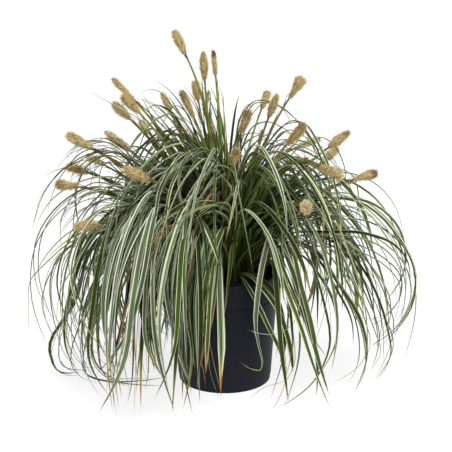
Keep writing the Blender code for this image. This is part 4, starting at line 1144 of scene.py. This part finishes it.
def stem_tint(look, chance, number, tip, from_spike, sheathed, aged):
    """The colour at each place along a stem, from how far it is below the spike.

    It is green or straw, darker low down and brown under the spike and where the sheath ends.
    """
    fresh = np.array(look.stem) * chance.uniform(0.75, 1.25)
    straw = 0.75 * (number * 0.618 % 1) * (abs(tip[0]) > 0.03)
    fresh = (1 - straw) * fresh + straw * np.array(look.straw_stem)
    if aged:
        fresh = 0.5 * fresh + 0.5 * np.array(look.old_stem)
    behind = from_spike[:, None]
    low_down = np.clip((behind - (0.07 if aged else 0.15)) / 0.12, 0, 1)
    fresh = fresh * (1 - np.array([0.76, 0.66, 0.76]) * low_down)
    brown = 0.75 * np.exp(-((behind - sheathed) / 0.008) ** 2) + np.exp(-((behind - 0.004) / 0.008) ** 2)
    brown = np.clip(brown + 0.25 * np.sin(behind * 210 + number), 0, 0.9)
    return fresh + (np.array(look.scale) - fresh) * brown


def stem_bracts(sheaf, stem, from_spike, sheathed, look, chance):
    """Small leaves on a stem: how far below the spike, how long, how wide in millimetres, which colour."""
    for height, length, wide, kind in (
            (0.003, 0.016, 2.8, look.bract),
            (0.006, 0.013, 3.0, look.paper),
            (0.022, 0.022, 2.6, look.bract),
            (sheathed, 0.05, 3.2, look.bract),
            (0.13, 0.07, 3.6, look.bract)):
        at = int(np.abs(from_spike - height).argmin())
        if at > 2:
            bract(sheaf, stem[at], unit(stem[at] - stem[at - 2]), length * chance.uniform(0.7, 1.3),
                  wide * MM, kind, look, chance)


def flower_stalk(node, look, finish):
    """One stem with its bracts, a small side spike on some and the bristly main spike."""
    number = int(node.rsplit("_", 1)[1])
    limbs = rings_from_tips(node, sides=4, rings=8)
    if len(limbs) != 1:
        raise RuntimeError("no single stem found in " + node)
    centres = np.array([ring.mean(axis=0) for ring in limbs[0]])
    radius = float(np.linalg.norm(limbs[0][6] - centres[6], axis=1).mean())
    chance = np.random.default_rng((SEED, STALK_STREAM + number))
    sheaf = Sheaf()
    spike_foot, spike_tip = centres[4], centres[-1]
    inside_spike = spike_foot + unit(spike_tip - spike_foot) * 6 * MM
    stem, _ = smooth_curve(np.vstack([centres[:5], inside_spike]), STEM_STATIONS)
    steps = np.append(0, np.cumsum(np.linalg.norm(np.diff(stem, axis=0), axis=1)))
    from_spike = steps[-1] - steps
    aged = spike_tip[2] < 0.36
    sheathed = (0.018 if aged else 0.05) + 0.04 * chance.random()
    radii = np.interp(from_spike, [0, 0.6 * sheathed, sheathed, sheathed + 0.004, 0.3],
                      np.array([1.2, 1.6, 2.1, 3.1, 2.2]) * MM)
    tint = stem_tint(look, chance, number, spike_tip, from_spike, sheathed, aged)
    sheaf.add(*round_tube(stem, radii, STEM_SIDES),
              tint=np.vstack([np.repeat(tint[:-1], STEM_SIDES, axis=0), tint[-1:]]))
    stem_bracts(sheaf, stem, from_spike, sheathed, look, chance)
    if chance.random() < 0.4:
        at = int(np.abs(from_spike - chance.uniform(0.03, 0.05)).argmin())
        lean = unit(unit(stem[at] - stem[at - 2]) + 0.22 * unit(chance.normal(size=3)))
        side_tip = stem[at] + lean * chance.uniform(0.016, 0.022)
        spike(sheaf, stem[at], side_tip, 2 * MM, look, chance, 0.3, (0.2, 1.0, 0, 0.5))
    known = SPIKES.get(number, (chance.random(), 1.0, 0, 0.6 * chance.random() ** 4))
    spike(sheaf, spike_foot, spike_tip, radius, look, chance, 1.0, known)
    piece = sheaf.piece(node.replace("flower_stalk", "bristly_stalk"), finish, crease=math.radians(50))
    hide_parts(node)
    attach(piece, "root")


def bract(sheaf, foot, heading, length, width, kind, look, chance):
    """A small papery leaf that clasps the stem with a brown foot and ends in a thin point."""
    out = unit(np.cross(heading, chance.normal(size=3)))
    share = np.linspace(0, 1, 9)
    path = foot + heading * (length * share)[:, None] + out * (0.0009 + 0.28 * length * share**2)[:, None]
    path = path - [0, 0, 0.08 * length] * (share**3)[:, None]
    side = unit(np.cross(heading, out))
    wide = width * np.interp(share, [0, 0.15, 0.5, 1], [0.8, 1, 0.6, 0.05])[:, None]
    rings = np.stack([path - side * wide / 2, path - out * 0.4 * wide, path + side * wide / 2,
                      path - out * 0.25 * wide], axis=1)
    points = np.vstack([rings[:-1].reshape(-1, 3), path[-1:]])
    brown = np.clip(1.3 - share * (1.2 + 2.4 * chance.random()), 0, 1)[:, None]
    tint = np.array(kind) * (1 - brown) + np.array(look.scale) * brown
    sheaf.add(points, *tube_pattern(8, 4), tint=np.vstack([np.repeat(tint[:-1], 4, axis=0), tint[-1:]]))


def spike(sheaf, start, end, radius, look, chance, share_of_bristles, known):
    """A core and three coats of bristles: darker ones deep down, the thick pale coat and one further out.

    known is the bluntness, the girth, how far the bristles lie back in degrees and the tip's brownness.
    """
    bluntness, girth, laid_back, brown_tip = known
    share = np.linspace(0, 1, 14)
    path = start + (end - start) * (share * 0.98)[:, None]
    radii = along_spike(share, bluntness) * radius * girth * (1 + 0.06 * chance.normal(size=14))
    sheaf.add(*round_tube(path, np.maximum(radii * 0.74, 0.7 * MM), 10), tint=np.array(look.core))
    count = int(look.bristles * share_of_bristles)
    size = 0.75 + 0.25 * share_of_bristles
    tan, cream = look.tan, look.cream
    for across, many, tints, lift, bare in (
            (0.84, count // 3, [tan, look.ripe], 66, 0.28),
            (0.94, count, [tan, cream, tan, cream, look.olive, tan, tan, cream, look.ripe], 58, 0.3),
            (0.96, count // 2, [cream, tan], 32, 0.7)):
        clear = min(0.95, bare * (1 + laid_back / 50))
        bristles(sheaf, (start, end), radii * across, look, chance, many, tints, lift - laid_back, size,
                 clear, brown_tip)


# Soil and pot

def turned(sheaf, profile, sides):
    """P(a, v) = (r(v) cos a, r(v) sin a, z(v)) from a profile that starts and ends on the axis."""
    angle = np.arange(sides) * 2 * math.pi / sides
    inner = profile[1:-1]
    rings = np.stack([inner[:, :1] * np.cos(angle), inner[:, :1] * np.sin(angle),
                      np.repeat(inner[:, 1:], sides, axis=1)], axis=-1)
    points = np.vstack([rings.reshape(-1, 3), [0, 0, profile[-1, 1]], [0, 0, profile[0, 1]]])
    quads, triangles = tube_pattern(len(inner), sides, closed_foot=False)
    side = np.arange(sides)
    under = np.stack([(side + 1) % sides, side, np.full(sides, len(points) - 1)], axis=-1)
    sheaf.add(points, quads, np.vstack([triangles, under]))


def rounded(points, radii):
    """A profile with its corners rounded off.

    Each corner P becomes a quadratic curve that starts and ends a radius away from P on the two sides
    that meet there: C(t) = (1 - t)^2 A + 2 t (1 - t) P + t^2 B.
    """
    points = np.array(points)
    t = np.linspace(0, 1, 6)[:, None]
    made = [points[:1]]
    for before, corner, after, radius in zip(points, points[1:], points[2:], radii):
        back = unit(before - corner) * min(radius, 0.49 * np.linalg.norm(before - corner))
        forth = unit(after - corner) * min(radius, 0.49 * np.linalg.norm(after - corner))
        made.append((1 - t) ** 2 * (corner + back) + 2 * t * (1 - t) * corner + t**2 * (corner + forth))
    made.append(points[-1:])
    return np.vstack(made)


def wall_radius(height, look):
    """The outside of the tapering pot wall."""
    return look.foot_radius + (RIM_RADIUS - look.lip_out - look.foot_radius) * height / POT_HEIGHT


def make_pot(look):
    """The pot: underside, foot step, wall, band, rolled lip and inside, turned about Z."""
    wall = 1.4 * MM
    band = POT_HEIGHT - 33.5 * MM
    lip = POT_HEIGHT - 5.7 * MM
    foot = 7 * MM
    profile = [
        (0.0, 1.2 * MM),
        (look.foot_radius - 12 * MM, 1.2 * MM),
        (look.foot_radius - 10 * MM, 0.0),
        (look.foot_radius - 0.8 * MM, 0.0),
        (wall_radius(foot, look) - 0.8 * MM, foot),
        (wall_radius(foot, look), foot + 1.0 * MM),
        (wall_radius(band, look), band - 2.2 * MM),
        (wall_radius(band, look) - 0.5 * MM, band - 1.2 * MM),
        (wall_radius(band, look) - 0.5 * MM, band),
        (wall_radius(band, look) + 0.7 * MM, band + 0.6 * MM),
        (wall_radius(lip, look) + 0.7 * MM, lip),
        (RIM_RADIUS, lip + 0.3 * MM),
        (RIM_RADIUS, POT_HEIGHT),
        (wall_radius(POT_HEIGHT, look) - wall, POT_HEIGHT),
        (wall_radius(band, look) - wall, band),
        (wall_radius(wall, look) - wall, wall + 0.4 * MM),
        (0.0, wall + 0.4 * MM),
    ]
    radii = np.array([0.5, 0.5, 1.2, 0.5, 0.5, 0.4, 0.3, 0.3, 0.4, 0.4, 0.9, 1.3, 0.8, 0.4, 1.0]) * MM
    sheaf = Sheaf()
    turned(sheaf, rounded(profile, radii), look.sides)
    piece = sheaf.piece("nursery_pot", pot_finish(look), crease=math.radians(35))
    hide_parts("pot")
    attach(piece, "root")


def make_soil(look):
    """The root ball with a lumpy top, and crumbs and bark bits bedded in it.

    The top is z = H - d (r / R)^2 and 14 sines of 0.28 mm, each along a direction of its own.
    """
    chance = np.random.default_rng((SEED, SOIL_STREAM))
    edge_radius = float(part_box("soil")[1][0]) - 0.1 * MM
    edge_height = SOIL_TOP - 6 * MM
    sides, rings = 96, 30
    angle = np.arange(sides) * 2 * math.pi / sides
    radius = edge_radius * np.linspace(1, 1 / rings, rings)
    x, y = radius[:, None] * np.cos(angle), radius[:, None] * np.sin(angle)
    z = SOIL_TOP - (SOIL_TOP - edge_height) * (radius[:, None] / edge_radius) ** 2 + 0 * x
    for _ in range(14):
        wave = chance.normal(size=2) * 260
        z = z + 0.28 * MM * np.sin(wave[0] * x + wave[1] * y + 6.3 * chance.random())
    z[0] = edge_height - 1 * MM
    top = np.stack([x, y, z], axis=-1)
    low = float(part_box("soil")[0][2])
    floor_radius = edge_radius - 9 * MM
    under = np.stack([floor_radius * np.cos(angle), floor_radius * np.sin(angle), 0 * angle + low], axis=-1)
    points = np.vstack([under, top.reshape(-1, 3), [0, 0, SOIL_TOP], [0, 0, low]])
    quads, triangles = tube_pattern(rings + 1, sides, closed_foot=False)
    side = np.arange(sides)
    base = np.stack([(side + 1) % sides, side, np.full(sides, len(points) - 1)], axis=-1)
    sheaf = Sheaf()
    sheaf.add(points, quads, np.vstack([triangles, base]), tint=np.array(look.peat))
    crumbs(sheaf, look, chance, edge_radius, edge_height)
    piece = sheaf.piece("potting_soil", soil_finish(look), crease=math.radians(40))
    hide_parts("soil")
    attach(piece, "root")


def crumbs(sheaf, look, chance, edge_radius, edge_height):
    """Irregular lumps of eight faces: an octahedron whose six corners are moved, turned and stretched."""
    count = look.crumbs
    corner = np.array([[1, 0, 0], [0, 1, 0], [-1, 0, 0], [0, -1, 0], [0, 0, 1], [0, 0, -1.0]])
    faces = np.array([[0, 1, 4], [1, 2, 4], [2, 3, 4], [3, 0, 4], [1, 0, 5], [2, 1, 5], [3, 2, 5],
                      [0, 3, 5]])
    radius = (edge_radius - 2 * MM) * np.sqrt(chance.random(count))
    angle = chance.random(count) * 2 * math.pi
    height = SOIL_TOP - (SOIL_TOP - edge_height) * (radius / edge_radius) ** 2
    middle = np.stack([radius * np.cos(angle), radius * np.sin(angle), height], axis=1)
    size = look.crumb_size * (0.25 + chance.random((count, 1, 1)) ** 2) * [1.0, 0.7, 0.5]
    shape = corner * size * chance.uniform(0.7, 1.3, (count, 6, 1))
    turn = chance.random(count) * 2 * math.pi
    cos, sin = np.cos(turn)[:, None], np.sin(turn)[:, None]
    spun = np.stack([shape[..., 0] * cos - shape[..., 1] * sin, shape[..., 0] * sin + shape[..., 1] * cos,
                     shape[..., 2]], axis=-1)
    points = (middle[:, None] + spun).reshape(-1, 3)
    index = faces + (np.arange(count) * 6)[:, None, None]
    tint = np.array([look.peat, look.bark, look.chip])[chance.integers(0, 3, count)]
    sheaf.add(points, [], index.reshape(-1, 3), tint=np.repeat(tint, 6, axis=0))


# Settings

def colour(name, description, value):
    """A colour property."""
    return bpy.props.FloatVectorProperty(name=name, description=description, subtype="COLOR", size=3,
                                         min=0.0, max=1.0, default=value)


def size_of(name, description, value):
    """A length property."""
    return bpy.props.FloatProperty(name=name, description=description, default=value, unit="LENGTH")


def share_of(name, description, value):
    """A property from 0 to 1."""
    return bpy.props.FloatProperty(name=name, description=description, default=value, min=0.0, max=1.0,
                                   subtype="FACTOR")


def number_of(name, description, value, least=0):
    """A whole number property."""
    return bpy.props.IntProperty(name=name, description=description, default=value, min=least)


class SedgePotSettings(bpy.types.PropertyGroup):
    """The pot."""

    sides: number_of("Sides", "Facets round the pot", 192, least=24)
    foot_radius: size_of("Foot Radius", "Outside radius at the underside", 0.0635)
    lip_out: size_of("Lip", "How far the lip stands out from the wall", 0.0013)
    plastic: colour("Plastic", "Colour of the clean plastic", (0.0052, 0.0076, 0.0135))
    dust: colour("Dust", "Colour of dried splashes and dust", (0.016, 0.019, 0.027))
    rubbed: colour("Rubbed", "Colour of scuffs and specks", (0.05, 0.055, 0.065))
    dust_amount: share_of("Dust Amount", "How much dust and scuffing shows", 0.5)
    roughness: share_of("Roughness", "Roughness of the clean plastic", 0.5)


class SedgeSoilSettings(bpy.types.PropertyGroup):
    """The soil."""

    crumbs: number_of("Crumbs", "Loose lumps on the soil", 900)
    crumb_size: size_of("Crumb Size", "Half the length of the largest lump", 0.0032)
    peat: colour("Peat", "Colour of damp peat", (0.014, 0.010, 0.007))
    bark: colour("Bark", "Colour of composted bark", (0.055, 0.032, 0.018))
    chip: colour("Chip", "Colour of the paler chips", (0.11, 0.07, 0.04))


class SedgeLeafSettings(bpy.types.PropertyGroup):
    """The leaves."""

    companions: number_of("Companions", "Finer leaves beside each main leaf", 2)
    young: number_of("Young Leaves", "Short upright leaves in each shoot", 9)
    arching: number_of("Arching Leaves", "Fine leaves inside the dome in each shoot", 4)
    crown: number_of("Crown Leaves", "Tall leaves in each shoot of the crown's left", 7)
    stations: number_of("Stations", "Places along each leaf", 30, least=6)
    least_width: size_of("Least Width", "Width that a leaf keeps near its tip", 0.0012)
    fold_radius: size_of("Fold Radius", "Bends sharper than this fold a leaf shut", 0.016)
    thickness: size_of("Thickness", "Thickness of a blade", 0.0004)
    dead_share: share_of("Dead Leaves", "Dead leaves for each main leaf", 0.36)
    dark_share: share_of("Dark Leaves", "Share of leaves with hardly any stripes", 0.2)
    green: colour("Green", "Middle of a leaf", (0.056, 0.106, 0.009))
    dark_green: colour("Dark Green", "Deepest green, along the keel", (0.011, 0.025, 0.004))
    # Painted shade: the near-black green that leaves are darkened to low down and in the heart of the clump.
    clump_shade: colour("Deep", "Foot of a leaf, deep in the clump", (0.0045, 0.013, 0.0016))
    # Waxy grey-green that also stands in for painted sheen on the outer leaves.
    bloom: colour("Bloom", "Waxy grey-green of outer leaves", (0.155, 0.205, 0.105))
    fresh: colour("Fresh", "Yellow-green of young and inner leaves", (0.13, 0.24, 0.016))
    pale_line: colour("Pale Line", "Fine lines in the green", (0.66, 0.69, 0.36))
    cream: colour("Cream", "Margins of the creamier leaves", (0.97, 0.95, 0.64))
    white: colour("White", "Margins of the whiter leaves", (0.93, 0.955, 0.84))
    fresh_cream: colour("Fresh Cream", "Margins of inner leaves", (0.42, 0.54, 0.10))
    underside: colour("Underside", "Underside of a leaf", (0.07, 0.13, 0.013))
    tip_yellow: colour("Tip Yellow", "Where a tip starts to wither", (0.62, 0.50, 0.13))
    tip_orange: colour("Tip Orange", "Withered tip", (0.58, 0.27, 0.07))
    tip_brown: colour("Tip Brown", "Oldest part of a withered tip", (0.30, 0.13, 0.05))
    dead_pale: colour("Dead Pale", "Straw of a dead leaf", (0.62, 0.40, 0.19))
    dead_dark: colour("Dead Dark", "Brown of a dead leaf", (0.30, 0.12, 0.045))


class SedgeStalkSettings(bpy.types.PropertyGroup):
    """The flower stalks."""

    bristles: number_of("Bristles", "Pale bristles on a main spike", 300)
    bristle_width: size_of("Bristle Width", "Width of a bristle", 0.0014)
    bristle_length: size_of("Bristle Length", "Length of a bristle", 0.0062)
    stem: colour("Stem", "Fresh stem", (0.29, 0.44, 0.05))
    straw_stem: colour("Straw Stem", "Paler, yellower stem", (0.46, 0.42, 0.15))
    old_stem: colour("Old Stem", "Brown of a stem that has started to dry", (0.20, 0.13, 0.035))
    bract: colour("Bract", "Small leaf on the stem", (0.34, 0.36, 0.12))
    paper: colour("Paper", "Papery bract at the foot of a spike", (0.80, 0.70, 0.50))
    scale: colour("Scale", "Brown scales and stem nodes", (0.20, 0.085, 0.035))
    ripe: colour("Ripe", "Darker bristles", (0.50, 0.31, 0.12))
    core: colour("Core", "Inside of a spike", (0.60, 0.46, 0.21))
    tan: colour("Tan", "Most bristles", (0.91, 0.72, 0.36))
    cream: colour("Cream", "Palest bristles", (1.0, 0.93, 0.63))
    olive: colour("Olive", "Greenish bristles", (0.74, 0.66, 0.27))


class SedgeStageSettings(bpy.types.PropertyGroup):
    """The floor, lights and camera."""

    floor: colour("Floor", "Colour of the floor", (0.2, 0.2, 0.2))
    floor_glow: bpy.props.FloatProperty(name="Floor Glow", default=0.83,
                                        description="Light that the lit floor gives by itself")
    sky: bpy.props.FloatProperty(name="Sky", description="Strength of the even light all round", default=0.22)
    key: bpy.props.FloatProperty(name="Key", description="Strength of the large soft light", default=3.0)
    elevation: bpy.props.FloatProperty(name="Elevation", description="How far the camera looks down",
                                       default=math.radians(18.4), subtype="ANGLE")
    distance: size_of("Distance", "From the camera to what it aims at", 2.6)
    aim: bpy.props.FloatVectorProperty(name="Aim", description="What the camera looks at",
                                       default=(0.0018, 0.0, 0.2188), size=3, subtype="XYZ", unit="LENGTH")
    lens: bpy.props.FloatProperty(name="Lens", description="Focal length on a 36 mm sensor", default=153.2)


# Operators

class SEDGE_OT_pot(bpy.types.Operator):
    """Make the nursery pot in place of its solid"""

    bl_idname = "sedge.pot"
    bl_label = "Nursery Pot"

    def execute(self, context):
        make_pot(context.scene.sedge_pot)
        return {"FINISHED"}


class SEDGE_OT_soil(bpy.types.Operator):
    """Make the soil and its crumbs in place of its solid"""

    bl_idname = "sedge.soil"
    bl_label = "Potting Soil"

    def execute(self, context):
        make_soil(context.scene.sedge_soil)
        return {"FINISHED"}


class SEDGE_OT_leaves(bpy.types.Operator):
    """Make the striped leaves of every tuft in place of its solid"""

    bl_idname = "sedge.leaves"
    bl_label = "Striped Leaves"

    def execute(self, context):
        look = context.scene.sedge_leaves
        finish = leaf_finish(look)
        for node in LEAF_TUFTS:
            leaf_tuft(node, look, finish)
        return {"FINISHED"}


class SEDGE_OT_stalks(bpy.types.Operator):
    """Make every flower stalk in place of its solid"""

    bl_idname = "sedge.stalks"
    bl_label = "Flower Stalks"

    def execute(self, context):
        look = context.scene.sedge_stalks
        finish = stalk_finish()
        for node in FLOWER_STALKS:
            flower_stalk(node, look, finish)
        return {"FINISHED"}


class SEDGE_OT_stage(bpy.types.Operator):
    """Make the floor, the lights and the camera"""

    bl_idname = "sedge.stage"
    bl_label = "Stage"

    def execute(self, context):
        look = context.scene.sedge_stage
        mesh = bpy.data.meshes.new("floor")
        edge = 6.0
        corners = [(-edge, -edge, 0), (edge, -edge, 0), (edge, edge, 0), (-edge, edge, 0)]
        mesh.from_pydata(corners, [], [(0, 1, 2, 3)])
        mesh.materials.append(floor_finish(look))
        floor = bpy.data.objects.new("floor", mesh)
        context.scene.collection.objects.link(floor)
        world = bpy.data.worlds.new("even light")
        world.use_nodes = True
        background = world.node_tree.nodes["Background"]
        background.inputs["Color"].default_value = (1.0, 1.0, 1.0, 1.0)
        background.inputs["Strength"].default_value = look.sky
        context.scene.world = world
        for name, place, softness, power in (
                ("key light", (0.25, -1.0, 2.6), 30, look.key),
                ("side light", (2.4, -1.1, 0.8), 40, look.key * 0.34)):
            lamp = bpy.data.lights.new(name, "SUN")
            lamp.energy = power
            lamp.angle = math.radians(softness)
            light = bpy.data.objects.new(name, lamp)
            light.location = place
            light.rotation_euler = (math.atan2(math.hypot(place[0], place[1]), place[2]), 0,
                                    math.atan2(place[0], -place[1]))
            context.scene.collection.objects.link(light)
        camera = bpy.data.objects.new("camera", bpy.data.cameras.new("camera"))
        camera.data.lens = look.lens
        camera.data.sensor_width = 36.0
        back = look.distance * math.cos(look.elevation)
        up = look.distance * math.sin(look.elevation)
        camera.location = (look.aim[0], look.aim[1] - back, look.aim[2] + up)
        camera.rotation_euler = (math.pi / 2 - look.elevation, 0, 0)
        context.scene.collection.objects.link(camera)
        context.scene.camera = camera
        context.scene.view_settings.view_transform = "Standard"
        return {"FINISHED"}


class SEDGE_PT_panel(bpy.types.Panel):
    """Lists the pieces of the potted sedge"""

    bl_idname = "SEDGE_PT_panel"
    bl_label = "Potted Sedge"
    bl_space_type = "VIEW_3D"
    bl_region_type = "UI"
    bl_category = "Sedge"

    def draw(self, context):
        for operator, _ in PIECES:
            self.layout.operator(operator.bl_idname)
        for name in SETTINGS:
            box = self.layout.box()
            group = getattr(context.scene, name)
            for key in group.bl_rna.properties.keys():
                if key not in ("rna_type", "name"):
                    box.prop(group, key)


PIECES = (
    (SEDGE_OT_stage, "stage"),
    (SEDGE_OT_pot, "pot"),
    (SEDGE_OT_soil, "soil"),
    (SEDGE_OT_stalks, "stalks"),
    (SEDGE_OT_leaves, "leaves"),
)
SETTINGS = {
    "sedge_pot": SedgePotSettings,
    "sedge_soil": SedgeSoilSettings,
    "sedge_leaves": SedgeLeafSettings,
    "sedge_stalks": SedgeStalkSettings,
    "sedge_stage": SedgeStageSettings,
}
CLASSES = (*SETTINGS.values(), *(operator for operator, _ in PIECES), SEDGE_PT_panel)


def register():
    """Registers the classes and hangs the settings on the scene."""
    for made in CLASSES:
        bpy.utils.register_class(made)
    for name, group in SETTINGS.items():
        setattr(bpy.types.Scene, name, bpy.props.PointerProperty(type=group))


def unregister():
    """Takes the settings and the classes away."""
    for name in SETTINGS:
        delattr(bpy.types.Scene, name)
    for made in reversed(CLASSES):
        bpy.utils.unregister_class(made)


def main():
    """Makes every piece."""
    register()
    for _, name in PIECES:
        getattr(bpy.ops.sedge, name)()


if __name__ == "__main__":
    main()
